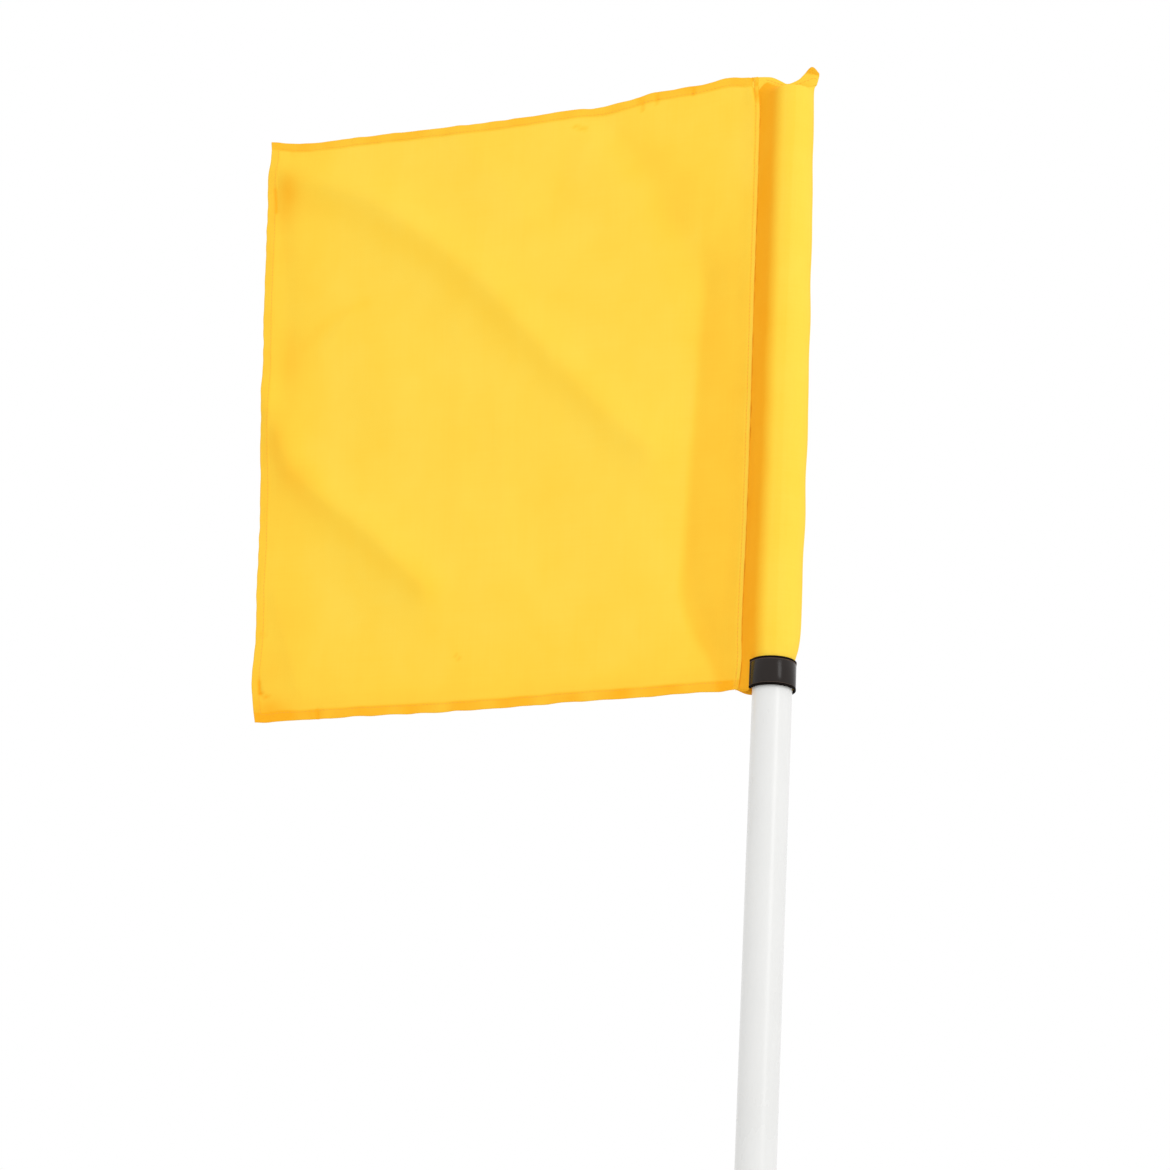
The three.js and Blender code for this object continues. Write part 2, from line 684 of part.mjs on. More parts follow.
function arcPoints(centre, radius, start, end, steps) {
  const points = [];
  for (let i = 0; i <= steps; i++) {
    const angle = THREE.MathUtils.lerp(start, end, i / steps);
    points.push(new THREE.Vector2(Math.cos(angle), Math.sin(angle))
      .multiplyScalar(radius).add(centre));
  }
  return points;
}

// C-shaped snap clip with a thick rounded lip at each side of its mouth, which faces -X.
function retainingClip() {
  const centre = new THREE.Vector2();
  const end = Math.PI - MOUTH_ANGLE;
  const lipTurn = CLIP_LIP_RADIUS / CLIP_BORE_RADIUS;
  const lipCentre = (angle) => new THREE.Vector2(Math.cos(angle), Math.sin(angle))
    .multiplyScalar(CLIP_BORE_RADIUS + CLIP_LIP_RADIUS);
  const outline = new THREE.Shape([
    ...arcPoints(centre, CLIP_RADIUS, lipTurn - end, end - lipTurn, CLIP_STEPS),
    ...arcPoints(lipCentre(end), CLIP_LIP_RADIUS, end, end + Math.PI, ARC_STEPS),
    ...arcPoints(centre, CLIP_BORE_RADIUS, end - lipTurn, lipTurn - end, CLIP_STEPS),
    ...arcPoints(lipCentre(-end), CLIP_LIP_RADIUS, Math.PI - end, 2 * Math.PI - end, ARC_STEPS),
  ]);
  return solidOf(new THREE.ExtrudeGeometry(outline, {
    depth: CLIP_HEIGHT - 2 * CLIP_BEVEL,
    bevelThickness: CLIP_BEVEL,
    bevelSize: CLIP_BEVEL,
    bevelOffset: -CLIP_BEVEL,
    bevelSegments: CLIP_BEVEL_STEPS,
  }).translate(0, 0, CLIP_BEVEL));
}

// One outline of the sleeve seen from above: half round the pole towards +X, then drawn in
// along two straight sides to the seam at -X.
function sleeveOutline({ back, bulge, side, tip, seam, leave, height }) {
  const place = (x, y) => new THREE.Vector3(x, y, height(x));
  const arc = [];
  for (let i = 0; i <= SLEEVE_ARC_STEPS; i++) {
    const angle = THREE.MathUtils.lerp(leave - Math.PI, Math.PI - leave, i / SLEEVE_ARC_STEPS);
    const reach = Math.cos(angle) > 0 ? bulge : back;
    arc.push(new THREE.Vector2(reach * Math.cos(angle), side * Math.sin(angle)));
  }
  const ring = [];
  for (let i = 0; i < SLEEVE_STRAIGHT_STEPS; i++) {
    const along = new THREE.Vector2(-seam, -tip).lerp(arc[0], i / SLEEVE_STRAIGHT_STEPS);
    ring.push(place(along.x, along.y));
  }
  arc.forEach((point) => ring.push(place(point.x, point.y)));
  for (let i = SLEEVE_STRAIGHT_STEPS - 1; i >= 0; i--) {
    const last = arc[arc.length - 1];
    const along = new THREE.Vector2(-seam, tip).lerp(last, i / SLEEVE_STRAIGHT_STEPS);
    ring.push(place(along.x, along.y));
  }
  return ring;
}

// Height of the sleeve's closed top edge above the cap's crown: level by the seam, a dip over
// the pole and an ear at the far corner.
function topEdgeRise(x) {
  if (x < DIP_PLACE) {
    const share = THREE.MathUtils.smoothstep(x, DIP_PLACE - DIP_WIDTH, DIP_PLACE);
    return THREE.MathUtils.lerp(SEAM_RISE, DIP_RISE, share);
  }
  const share = (x - DIP_PLACE) / (EAR_REACH - DIP_PLACE);
  return THREE.MathUtils.lerp(DIP_RISE, EAR_RISE, share * Math.sqrt(share));
}

// The sleeve's outer skin, or with inset its inner one, from the clip's bottom to the top edge.
function sleeveSkin(inset, bottom, topDrop) {
  const tight = SLEEVE_RADIUS - inset;
  const seam = inset > 0 ? SLEEVE_TIP - SLEEVE_SEAM_WIDTH : SLEEVE_TIP;
  const tip = inset > 0 ? SLEEVE_INNER_TIP : SLEEVE_CLOTH;
  const level = (z) => () => z;
  const held = { back: tight, bulge: tight, side: tight, tip, seam, leave: PINCH_ANGLE };
  const rings = [
    sleeveOutline({ ...held, height: level(bottom) }),
    sleeveOutline({ ...held, height: level(CLIP_HEIGHT) }),
  ];
  const loose = (z, slackShare) => {
    const slack = SLEEVE_SLACK * slackShare;
    const side = tight + slack * SLEEVE_SIDE_SLACK_SHARE;
    const leave = Math.acos(side / (SLEEVE_TIP + SLEEVE_CLOTH));
    const shape = { back: side, bulge: tight + slack, side, tip, seam, leave };
    return sleeveOutline({ ...shape, height: level(z) });
  };
  const crown = CROWN_TOP - FLAG_BOTTOM;
  const rim = CAP_RIM_TOP - FLAG_BOTTOM;
  rings.push(loose(CLIP_HEIGHT + SLEEVE_FLARE_HEIGHT, SLEEVE_FLARE_SLACK_SHARE));
  for (const [heightShare, slackShare] of SLEEVE_STATION_SHARES) {
    rings.push(loose(THREE.MathUtils.lerp(CLIP_HEIGHT, rim, heightShare), slackShare));
  }
  rings.push(loose(rim, SLEEVE_RIM_SLACK_SHARE));
  const topHalf = TOP_FOLD_THICKNESS / 2 - inset;
  const top = { back: tight, bulge: EAR_REACH - inset, side: topHalf, tip: Math.min(tip, topHalf) };
  const leave = Math.acos(tight / (SLEEVE_TIP + SLEEVE_CLOTH));
  const height = (x) => crown + topEdgeRise(x) - topDrop;
  rings.push(sleeveOutline({ ...top, seam, leave, height }));
  return loft(rings);
}

function flagSleeve() {
  const outside = sleeveSkin(0, 0, 0);
  const inside = sleeveSkin(SLEEVE_CLOTH, -CUT_OVERRUN, TOP_FOLD_DEPTH);
  return outside.subtract(inside);
}

// Distance of a place on the panel from a fold's line, in shares of the panel.
function foldDistance(place, { from, to }) {
  const start = new THREE.Vector2(...from);
  const run = new THREE.Vector2(...to).sub(start);
  const off = place.clone().sub(start);
  const share = THREE.MathUtils.clamp(off.dot(run) / run.lengthSq(), 0, 1);
  return off.sub(run.multiplyScalar(share)).length();
}

function foldOffset(across, up) {
  const place = new THREE.Vector2(across, up);
  const seamCalm = THREE.MathUtils.smoothstep(across, 0, SEAM_CALM_SHARE);
  let offset = 0;
  for (const fold of FOLD_SHARES) {
    const far = foldDistance(place, fold) / fold.width;
    offset -= FOLD_DEPTH * fold.depth * Math.exp(-far * far);
  }
  return offset * seamCalm;
}

// How far a place on the panel hangs below a straight top edge.
function topSag(across, up) {
  const next = Math.max(1, TOP_SAG_SHARES.findIndex(([place]) => place >= across));
  const [nearPlace, nearSag] = TOP_SAG_SHARES[next - 1];
  const [farPlace, farSag] = TOP_SAG_SHARES[next];
  const share = THREE.MathUtils.smoothstep(across, nearPlace, farPlace);
  const fade = THREE.MathUtils.smoothstep(up, 1 - TOP_SAG_REACH_SHARE, 1);
  return TOP_SAG * fade * THREE.MathUtils.lerp(nearSag, farSag, share);
}

// Grid lines along one direction of the panel, with a pair either side of each hem's edge.
function gridShares(length, cells, hemAtStart) {
  const hem = HEM_WIDTH / length;
  const step = HEM_STEP / length;
  const low = hemAtStart ? hem + step : 0;
  const high = 1 - hem - step;
  const shares = hemAtStart ? [0, hem] : [];
  for (let i = 0; i <= cells; i++) shares.push(THREE.MathUtils.lerp(low, high, i / cells));
  return [...shares, 1 - hem, 1];
}

function isHem(across, up) {
  const edge = Math.min(up, 1 - up) * FLAG_HEIGHT;
  const fly = (1 - across) * PANEL_WIDTH;
  return Math.min(edge, fly) <= HEM_WIDTH + MERGE_TOLERANCE;
}

// The panel in its own place: x from the seam's bead towards the fly, z up from its bottom.
function flagPanel() {
  const columns = gridShares(PANEL_WIDTH, PANEL_COLUMNS, false);
  const rings = gridShares(FLAG_HEIGHT, PANEL_ROWS, true).map((up) => {
    const height = (across) => up * FLAG_HEIGHT - topSag(across, up);
    const reach = (across) => -across * (PANEL_WIDTH + PANEL_SHEAR * (2 * up - 1));
    const half = (across) => {
      const thick = across > 0 && isHem(across, up) ? HEM_THICKNESS : PANEL_THICKNESS;
      return thick / 2;
    };
    const skin = (side) => columns.map((across) => new THREE.Vector3(
      reach(across),
      foldOffset(across, up) + side * half(across),
      height(across),
    ));
    const bead = [];
    for (let i = 1; i < BEAD_STEPS; i++) {
      const angle = Math.PI / 2 - (Math.PI * i) / BEAD_STEPS;
      bead.push(new THREE.Vector3(SEAM_BEAD_RADIUS * Math.cos(angle),
        SEAM_BEAD_RADIUS * Math.sin(angle), height(0)));
    }
    return [...skin(-1).toReversed(), ...bead.toReversed(), ...skin(1)];
  });
  return loft(rings);
}

// The spike and what is bolted to it
const groundSpike = new THREE.Group();
groundSpike.add(piece("spike_rod", spikeRod(), "galvanised"));
groundSpike.add(piece("foot_disc", footDisc(), "galvanised"));
const footWasher = flatWasher(WASHER_DIAMETER, STEM_RADIUS + SEAT_GAP, WASHER_THICKNESS);
groundSpike.add(piece("foot_washer", footWasher, "galvanised", WASHER_BOTTOM));
groundSpike.add(piece("foot_nut", footNut(), "galvanised", NUT_BOTTOM));
groundSpike.add(piece("lower_spring_stud", lowerStud(), "galvanised", SPRING_BOTTOM));
groundSpike.add(piece("lower_cross_pin", crossPin(), "galvanised", SPRING_BOTTOM));

// The spring, and the upper stud turned over to face it
const spring = piece("coil_spring", coilSpring(), "springSteel", SPRING_BOTTOM);
const upperEnd = new THREE.Group();
upperEnd.position.z = SPRING_TOP;
upperEnd.rotation.z = 2 * Math.PI * SPRING_TURNS;
const turnedOver = new THREE.Group();
turnedOver.rotation.x = Math.PI;
turnedOver.add(piece("upper_spring_stud", upperStud(), "galvanised"));
turnedOver.add(piece("upper_cross_pin", crossPin(), "galvanised"));
upperEnd.add(turnedOver);

// The pole and what is fixed in its ends
const pole = new THREE.Group();
pole.add(upperEnd);
pole.add(piece("pole_plug", polePlug(), "blackPlastic", PLUG_BOTTOM));
const washerBottom = PLUG_BOTTOM + SOCKET_FLOOR_HEIGHT + SEAT_GAP;
const boltWasher = flatWasher(BOLT_WASHER_DIAMETER, BOLT_DIAMETER / 2 + SEAT_GAP,
  BOLT_WASHER_THICKNESS);
pole.add(piece("plug_washer", boltWasher, "galvanised", washerBottom));
pole.add(piece("plug_bolt", plugBolt(), "galvanised",
  washerBottom + BOLT_WASHER_THICKNESS + SEAT_GAP));
screwAngles().forEach((angle, i) => {
  pole.add(piece(`plug_screw_${i + 1}`, plugScrew(angle), "galvanised",
    PLUG_BOTTOM + SCREW_HEIGHT));
});
pole.add(piece("pole_tube", poleTube(), "whitePlastic", POLE_BOTTOM));
pole.add(piece("pole_top_cap", poleTopCap(), "whitePlastic", POLE_TOP + SEAT_GAP));

// The flag and the clip that holds it down
const flag = new THREE.Group();
flag.position.z = FLAG_BOTTOM;
flag.add(piece("retaining_clip", retainingClip(), "blackPlastic"));
flag.add(piece("flag_sleeve", flagSleeve(), "flagCloth"));
const panel = piece("flag_panel", flagPanel(), "flagCloth");
panel.position.x = -SEAM_REACH;
flag.add(panel);

const cornerFlag = new THREE.Group();
cornerFlag.name = "corner_flag";
cornerFlag.add(groundSpike, spring, pole, flag);

export default cornerFlag;
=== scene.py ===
"""Dresses the frame of a corner flag: sewn cloth, stitches, plastics, steels, light and camera."""
import json
import math

import bmesh
import bpy
import numpy as np
from bpy.props import FloatProperty, FloatVectorProperty, IntProperty, PointerProperty
from mathutils import Matrix, Vector


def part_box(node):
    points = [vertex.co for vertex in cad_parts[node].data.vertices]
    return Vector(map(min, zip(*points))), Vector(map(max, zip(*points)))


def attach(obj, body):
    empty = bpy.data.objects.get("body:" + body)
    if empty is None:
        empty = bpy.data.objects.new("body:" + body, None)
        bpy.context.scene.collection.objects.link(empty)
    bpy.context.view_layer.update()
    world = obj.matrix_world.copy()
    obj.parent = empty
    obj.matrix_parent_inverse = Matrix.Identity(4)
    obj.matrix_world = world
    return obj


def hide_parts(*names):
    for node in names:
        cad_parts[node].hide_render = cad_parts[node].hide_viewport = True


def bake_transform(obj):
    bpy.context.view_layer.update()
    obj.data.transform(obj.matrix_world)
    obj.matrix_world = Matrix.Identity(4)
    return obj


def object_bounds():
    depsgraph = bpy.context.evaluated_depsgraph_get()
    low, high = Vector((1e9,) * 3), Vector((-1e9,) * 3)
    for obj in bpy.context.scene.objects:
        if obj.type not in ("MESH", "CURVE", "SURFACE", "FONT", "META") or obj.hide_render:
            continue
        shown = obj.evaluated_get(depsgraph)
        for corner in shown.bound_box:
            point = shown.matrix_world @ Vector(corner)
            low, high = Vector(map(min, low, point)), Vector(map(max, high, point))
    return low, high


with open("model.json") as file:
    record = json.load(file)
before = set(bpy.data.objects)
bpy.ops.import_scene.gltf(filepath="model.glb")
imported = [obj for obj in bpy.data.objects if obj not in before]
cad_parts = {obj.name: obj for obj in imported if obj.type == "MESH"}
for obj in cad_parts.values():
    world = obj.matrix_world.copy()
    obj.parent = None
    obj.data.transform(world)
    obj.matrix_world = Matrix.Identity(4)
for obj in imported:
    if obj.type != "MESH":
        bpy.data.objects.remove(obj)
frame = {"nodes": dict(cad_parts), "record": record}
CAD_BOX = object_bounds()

bl_info = {
    "name": "Corner Flag",
    "version": (1, 0, 0),
    "blender": (4, 5, 0),
    "location": "View3D > Sidebar > Corner Flag",
    "description": "Dresses a corner flag's frame with cloth, plastic and steel",
    "category": "Add Mesh",
}

MM = 0.001
TURN = 2 * math.pi
# The most of a side that a rounded corner takes
ROUNDED_SHARE = 0.45
# How close points are that count as one, in a new mesh and in a solid
MERGE_DISTANCE = 0.01 * MM
SAME_DISTANCE = 0.001 * MM


def in_mm(*rows):
    """Rows of numbers given in millimetres, as metres."""
    return [tuple(value * MM for value in row) for row in rows]


# Places that the frame gives, in metres
POLE_LOW, POLE_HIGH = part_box("pole_tube")
CLIP_LOW, CLIP_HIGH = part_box("retaining_clip")
SCREW_LOW, SCREW_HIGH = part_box("plug_screw_1")
SPRING_LOW, SPRING_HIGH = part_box("coil_spring")
PANEL_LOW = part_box("flag_panel")[0]
BODIES = frame["record"]["behaviour"]["bodies"]
JOINTS = {joint["name"]: joint for joint in frame["record"]["behaviour"]["joints"]}
SEAM_X = JOINTS["panel_swing"]["pos_m"][0]
POLE_RADIUS = POLE_HIGH.x
CLIP_RADIUS = CLIP_HIGH.x
CLIP_HEIGHT = CLIP_HIGH.z - CLIP_LOW.z
FLAG_BOTTOM = CLIP_LOW.z
CROWN_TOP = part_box("pole_top_cap")[1].z

# Flag: the panel's outline, in metres unless a name says share
SEAM_RISE = 15.6 * MM
FLAG_HEIGHT = CROWN_TOP + SEAM_RISE - FLAG_BOTTOM
PANEL_SHEAR = 17.2 * MM
PANEL_WIDTH = SEAM_X - PANEL_LOW.x - PANEL_SHEAR

# Edges of the panel as they hang: how far each stands off its straight line, as shares of the
# most, at shares of the way along it from the seam or from the bottom
TOP_SAG = 7 * MM
TOP_SAG_REACH_SHARE = 0.3
TOP_SAG_SHARES = [
    (0, 0), (0.055, -0.45), (0.085, -0.28), (0.13, -0.05), (0.2, 0.07), (0.26, 0.62), (0.3, 0.9),
    (0.35, 0.82), (0.44, 1.04), (0.56, 1.14), (0.8, 0.82), (0.9, 0.8), (0.94, 0.68), (0.985, 0.16),
    (1, 0),
]
BOTTOM_LIFT = 2.4 * MM
BOTTOM_LIFT_REACH_SHARE = 0.2
BOTTOM_LIFT_SHARES = [
    (0, 0.95), (0.09, 0.98), (0.14, 0.7), (0.2, 0.4), (0.35, 0.24), (0.5, -0.45), (0.84, -0.52),
    (0.9, -0.62), (0.94, -0.5), (0.975, -1), (1, -0.4),
]
FLY_BULGE = 4 * MM
FLY_BULGE_SHARES = [
    (0, 0), (0.05, 1.08), (0.13, 0.45), (0.22, 0.52), (0.3, 0.25), (0.345, 0.3), (0.39, 0.3),
    (0.44, 0.72), (0.49, 0.5), (0.535, 0.2), (0.585, 0.28), (0.63, 0.68), (0.72, 0.86),
    (0.78, 0.6), (0.83, 0.5), (0.92, 0.4), (0.965, -0.58), (1, -0.1),
]
LAP_SHIFT = 6 * MM
LAP_SHIFT_REACH = 25 * MM
LAP_SHIFT_SHARES = [
    (0, -0.03), (0.045, 0.22), (0.09, 0.1), (0.25, 0.18), (0.45, 0.15), (0.6, 0.02),
    (0.9, -0.12), (0.945, -0.2), (0.965, -0.35), (0.985, -0.56), (1, -0.6),
]

# Folds of the panel: points along each as shares of its width from the seam and of its height
# from the bottom, then half width as a share, and depth as a share of the fold depth. The crest
# number says how sharp they are, and near the seam they are calm.
FOLD_DEPTH = 7 * MM
FOLD_CREST = 2.2
SEAM_CALM_SHARE = 0.06
FOLD_SHARES = [
    ([(0.99, 0.95), (0.89, 0.925), (0.77, 0.875), (0.64, 0.785), (0.52, 0.69), (0.44, 0.61),
      (0.34, 0.52), (0.26, 0.45), (0.19, 0.4)], 0.055, 0.95),
    ([(1.0, 0.55), (0.955, 0.47), (0.93, 0.41), (0.85, 0.352), (0.76, 0.296), (0.69, 0.24),
      (0.64, 0.2)], 0.045, 0.8),
    ([(0.33, 1.0), (0.285, 0.948), (0.2, 0.834), (0.14, 0.737), (0.09, 0.65)], 0.05, -0.35),
    ([(0.1, 0.66), (0.112, 0.52), (0.118, 0.35), (0.118, 0.25), (0.105, 0.155), (0.06, 0.07)],
     0.05, -0.5),
    ([(0.985, 0.93), (0.96, 0.8), (0.95, 0.62), (0.965, 0.5)], 0.03, -0.2),
    ([(0.88, 0.6), (0.85, 0.63), (0.81, 0.68)], 0.016, 0.1),
    ([(0.585, 0.64), (0.57, 0.31)], 0.02, 0.07),
    ([(0.49, 0.46), (0.48, 0.29)], 0.02, 0.06),
    ([(0.395, 0.55), (0.385, 0.43)], 0.018, 0.05),
    ([(0.6, 0.98), (0.515, 0.89), (0.44, 0.8)], 0.04, 0.12),
    ([(0.37, 0.94), (0.4, 0.85), (0.48, 0.76)], 0.035, -0.1),
    ([(0.96, 0.2), (0.93, 0.12), (0.9, 0.05)], 0.025, 0.15),
]

# Small creases: start and end as the folds have them, half width and depth in millimetres
CREASES = [
    ((0.985, 0.066), (0.983, 0.047), 1.6, 0.9),
    ((0.983, 0.047), (0.966, 0.041), 1.6, 0.8),
    ((0.984, 0.915), (0.982, 0.874), 1.5, 0.6),
    ((0.953, 0.984), (0.952, 0.972), 1.2, 0.5),
    ((0.232, 1.0), (0.228, 0.976), 1.5, 0.7),
    ((0.201, 1.0), (0.199, 0.98), 1.3, 0.5),
    ((0.129, 1.0), (0.127, 0.985), 1.2, 0.4),
    ((0.364, 0.97), (0.34, 0.962), 1.6, 0.6),
    ((0.99, 0.141), (0.979, 0.14), 1.3, 0.5),
    ((0.571, 0.087), (0.562, 0.081), 1.3, 0.5),
    ((0.862, 0.014), (0.863, 0.0), 1.3, 0.6),
    ((0.004, 1.0), (-0.002, 0.955), 0.9, 0.9),
]

# Ripples that keep the cloth from looking machined: height, wavelength and seed
EDGE_WOBBLE = (0.3 * MM, 22 * MM, 3)
LOOSE_RIPPLE = (0.7 * MM, 110 * MM, 5)
EDGE_RIPPLE = (0.25 * MM, 12 * MM, 7)
SEAM_RIPPLE = (0.3 * MM, 16 * MM, 11)
SLEEVE_BULGE = (0.45 * MM, 60 * MM, 21)
SLEEVE_PUCKER = (0.16 * MM, 13 * MM, 23)
HEM_PATCHES = (0.2, 28 * MM, 31)
# How far they reach from the edges, the seam and the sleeve's tail, and where the wider ones
# begin and end
EDGE_REACH = 9 * MM
SEAM_REACH = 12 * MM
PUCKER_REACH = 5 * MM
LOOSE_FROM_SHARE = 0.2
BULGE_FADES = in_mm((25, 60), (430, 480))
PUCKER_FADE = (20 * MM, 40 * MM)

# Hems and stitches: the mesh's lines across a hem, the step down from it and its row of
# stitches as shares of its width, and other places as distances from the seam
HEM_LINES_SHARE = (0, 0.05, 0.16, 0.36, 0.56, 0.7, 0.78, 0.84, 0.9, 0.97, 1.03, 1.12, 1.28)
HEM_STEP_SHARES = (0.94, 1.1)
HEM_STITCH_SHARE = 0.84
SEWN_STEP = (1.5 * MM, 4 * MM)
SEAM_STITCH_OUT = 0.1 * MM
SEAM_STITCH_SHARES = (0.006, 0.994)
SEAM_POINTS = 260
HEM_STITCH_START = 12 * MM
HEM_POINTS = (150, 170)
STITCH_GROOVE = 0.14 * MM
STITCH_GROOVE_REACH = 0.5 * MM
LAP_ROOM = 0.1 * MM
LAP_LINES = 10
LAP_LINES_END = 1.2 * MM
WIDE_LINES_START = 2.4 * MM

# Tones of the panel, where 0 is its own colour and 1 the deepest
TOP_TONE, BOTTOM_TONE, FLY_TONE = 0.5, 0.5, 0.15
HEM_TONE_SHARES = (0.9, 1.2)
SEAM_ROW_TONE = 0.3
SEAM_ROW_REACH = 0.9 * MM
# Painted shade in front near the fly edge: how much, and the shares of the width over which it
# comes in
FLY_SIDE_SHADE = 0.16
FLY_SIDE_SHARES = (0.82, 0.94)
# Painted shade in front, darker towards the bottom: how much, and the heights over which it fades
# out
LOW_SHADES = [(0.1, 8 * MM, 26 * MM), (0.11, 10 * MM, 110 * MM)]
# Painted shade in the small creases, on both skins, by their depth in millimetres
CREASE_SHADE = 0.7
# Painted shade in front, in bands on the folds' turned sides: points as the folds have them,
# half width as a share, and how much
FOLD_SHADE_BANDS = [
    ([(0.96, 0.92), (0.934, 0.908), (0.792, 0.836), (0.65, 0.754), (0.578, 0.7), (0.449, 0.588),
      (0.334, 0.499), (0.276, 0.45)], 0.028, 0.09),
    ([(0.965, 0.46), (0.95, 0.422), (0.871, 0.346), (0.8, 0.295), (0.714, 0.236),
      (0.628, 0.197)], 0.03, 0.15),
    ([(0.91, 0.627), (0.856, 0.668), (0.786, 0.69)], 0.013, 0.1),
    ([(0.255, 0.94), (0.202, 0.86), (0.149, 0.75), (0.11, 0.66), (0.08, 0.58)], 0.045, 0.1),
]
# Painted shade in front, in single places: centre and half sizes as shares, and how much
SHADES = [
    ((0.956, 0.915), (0.024, 0.03), 0.46),
    ((0.96, 0.872), (0.024, 0.034), 0.3),
    ((0.958, 0.8), (0.02, 0.04), 0.12),
    ((0.945, 0.61), (0.03, 0.05), 0.22),
    ((0.962, 0.47), (0.03, 0.05), 0.16),
    ((0.93, 0.4), (0.04, 0.03), 0.12),
    ((0.965, 0.018), (0.03, 0.018), 0.45),
    ((0.93, 0.006), (0.015, 0.012), 0.3),
    ((0.12, 0.84), (0.1, 0.12), 0.12),
]
# The stretch beside the seam that turns away from the light, with painted shade: its width at
# shares of the height, and how deep the painted shade is there
TURNED_WIDTH = 50 * MM
TURNED_EDGE = (-5 * MM, 6 * MM)
TURNED_START = 3 * MM
TURNED_SHARES = [
    (0, 0.3), (0.04, 0.45), (0.095, 0.78), (0.16, 1), (0.21, 0.99), (0.26, 0.96), (0.35, 0.93),
    (0.46, 0.88), (0.53, 0.85), (0.63, 0.83), (0.74, 0.86), (0.8, 0.8), (1, 0.8),
]
TURNED_SHADES = [
    (0, 0.3), (0.06, 0.36), (0.5, 0.36), (0.58, 0.32), (0.67, 0.22), (0.73, 0.13), (0.79, 0.07),
    (0.84, 0), (1, 0),
]

# Slack of the sleeve up the pole, from the clip's top to the cap's rim: shares of that height
# and of the most slack
SLEEVE_SLACK = 4.6 * MM
SIDE_SLACK_SHARE = 0.42
SLACK_SHARES = [
    (0, 0), (0.02, 0.58), (0.05, 0.9), (0.19, 1.05), (0.35, 1), (0.51, 0.99), (0.67, 0.74),
    (0.83, 0.6), (0.97, 0.32), (1, 0.22),
]
SLEEVE_HELD_RADIUS = POLE_RADIUS + 0.8 * MM
PINCH_ANGLE = math.radians(33)
PINCH_FADE_SHARE = 0.03

# The sleeve's tail, sewn flat between the pole and the seam, and the points of half a ring:
# along the tail, on the straight run to the pole, and round it
TAIL_HALF = 0.5 * MM
TAIL_TIP_X = SEAM_X - 2.4 * MM
TAIL_ROOT_X = SEAM_X + 2.6 * MM
TAIL_COVER = (3.2 * MM, 12 * MM)
TAIL_SHIFT_FADE = 9 * MM
FREE_X = -8 * MM
TAIL_POINTS, RUN_POINTS, ARC_POINTS = 5, 14, 44
FIRST_ROW_HEIGHT = 4 * MM
HELD_ROWS = 7

# Edges of the sleeve as x and a height: its lower edge over the flag's bottom, then over the
# cap's crown its top edge from the seam past a dip to the ear, the line where its two layers
# part, and where the flat top's painted shade begins
BOTTOM_EDGE = in_mm((-31.5, 3.4), (-29, 2.6), (-25, 0.8), (-21, -0.5), (-17, -0.4), (-13, 2),
                    (18, 2))
TOP_EDGE = in_mm(
    (-33.5, 16.8), (-29, 16.5), (-21.6, 15.3), (-17, 13.8), (-10.4, 9.9), (-5, 6.6), (1.4, 7.6),
    (6, 9.8), (10.6, 14.2), (13.6, 17), (17, 18.7), (19.2, 17.2), (22.2, 12.2),
)
PARTING_LINE = in_mm(
    (-33.5, 2.5), (-30, 3.5), (-22, 10.4), (-17.6, 8), (-13, 5.6), (-9, 4.1), (0, 3), (8, 1.6),
    (14, 0.2), (18, 1), (21.6, 2),
)
FLAP_SHADE_LINE = PARTING_LINE[:7] + in_mm((6, 1), (12, -1.5), (16, -3), (21.6, -3.4))
CLOSING_ROWS, FLAP_ROWS = 9, 12
CLOSING_POWER, SWELL_POWER = 0.8, 0.5
CAP_DOME = 3 * MM
CAP_ROOM = 0.7 * MM
FLAP_SWELL = 0.35 * MM
# The row of the flat top that the closing stitches lie on, and how far they stay from its ends
CLOSING_ROW = 4
CLOSING_INSETS = (6 * MM, 3 * MM)
EAR_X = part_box("flag_sleeve")[1].x + 1.2 * MM

# The flat top's lean and the ear's folded tip, from x and a height over the crown
EAR_FOLD_FROM = (11.2 * MM, 14.2 * MM)
EAR_FOLD_FALL_SHARE = 0.375
EAR_FOLD_LEAN_SHARE = 0.5
EAR_FADES = (4 * MM, 1 * MM)
EAR_OFF = 1 * MM
FLAP_LEAN_SHARE = 0.12
FLAP_LEAN_FADE = (-12 * MM, 0)
FLAP_LEAN_FROM = 2 * MM
LEAN_DROP_SHARE = 0.55

# Painted shade on the sleeve: the strip beside the seam that turns away, the flat top, and the
# ear's folded tip with its fold line
STRIP_SHADE_FADE = (-15 * MM, 1 * MM)
STRIP_SHIFT = 2.6 * MM
STRIP_SHIFT_SHARES = [(0, 0.4), (0.1, 0.6), (0.35, 1), (0.6, 0.8), (0.8, 0.4), (1, 0.3)]
FLAP_SHADE, EAR_SHADE, FOLD_LINE_SHADE = 0.08, 0.62, 0.34
FLAP_TONE_FADE = (-1.3 * MM, 0.8 * MM)
EAR_TONE_FADE = (-0.3 * MM, 0.4 * MM)
FOLD_LINE_REACH = 0.8 * MM

# Clip: its mouth for the seam, how finely it is drawn, the groove inside each bead as distance
# past the bead and share of its depth, and the painted shade on its rims and the painted
# highlight line just inside them
CLIP_MOUTH = math.radians(35)
WALL_STATIONS, LIP_STATIONS, CORNER_STEPS = 70, 22, 5
LIP_OPENING = 0.005 * MM
CLIP_GROOVE = [(0, 0), (0.35 * MM, 1), (0.8 * MM, 0.35)]
RIM_PAINTED_TONES = {"trimmed black nylon, painted shade": 0.5, "black nylon, painted highlight line": 9}
HIGHLIGHT_LINE_WIDTH = 0.34 * MM
RIM_FADE = 0.5 * MM

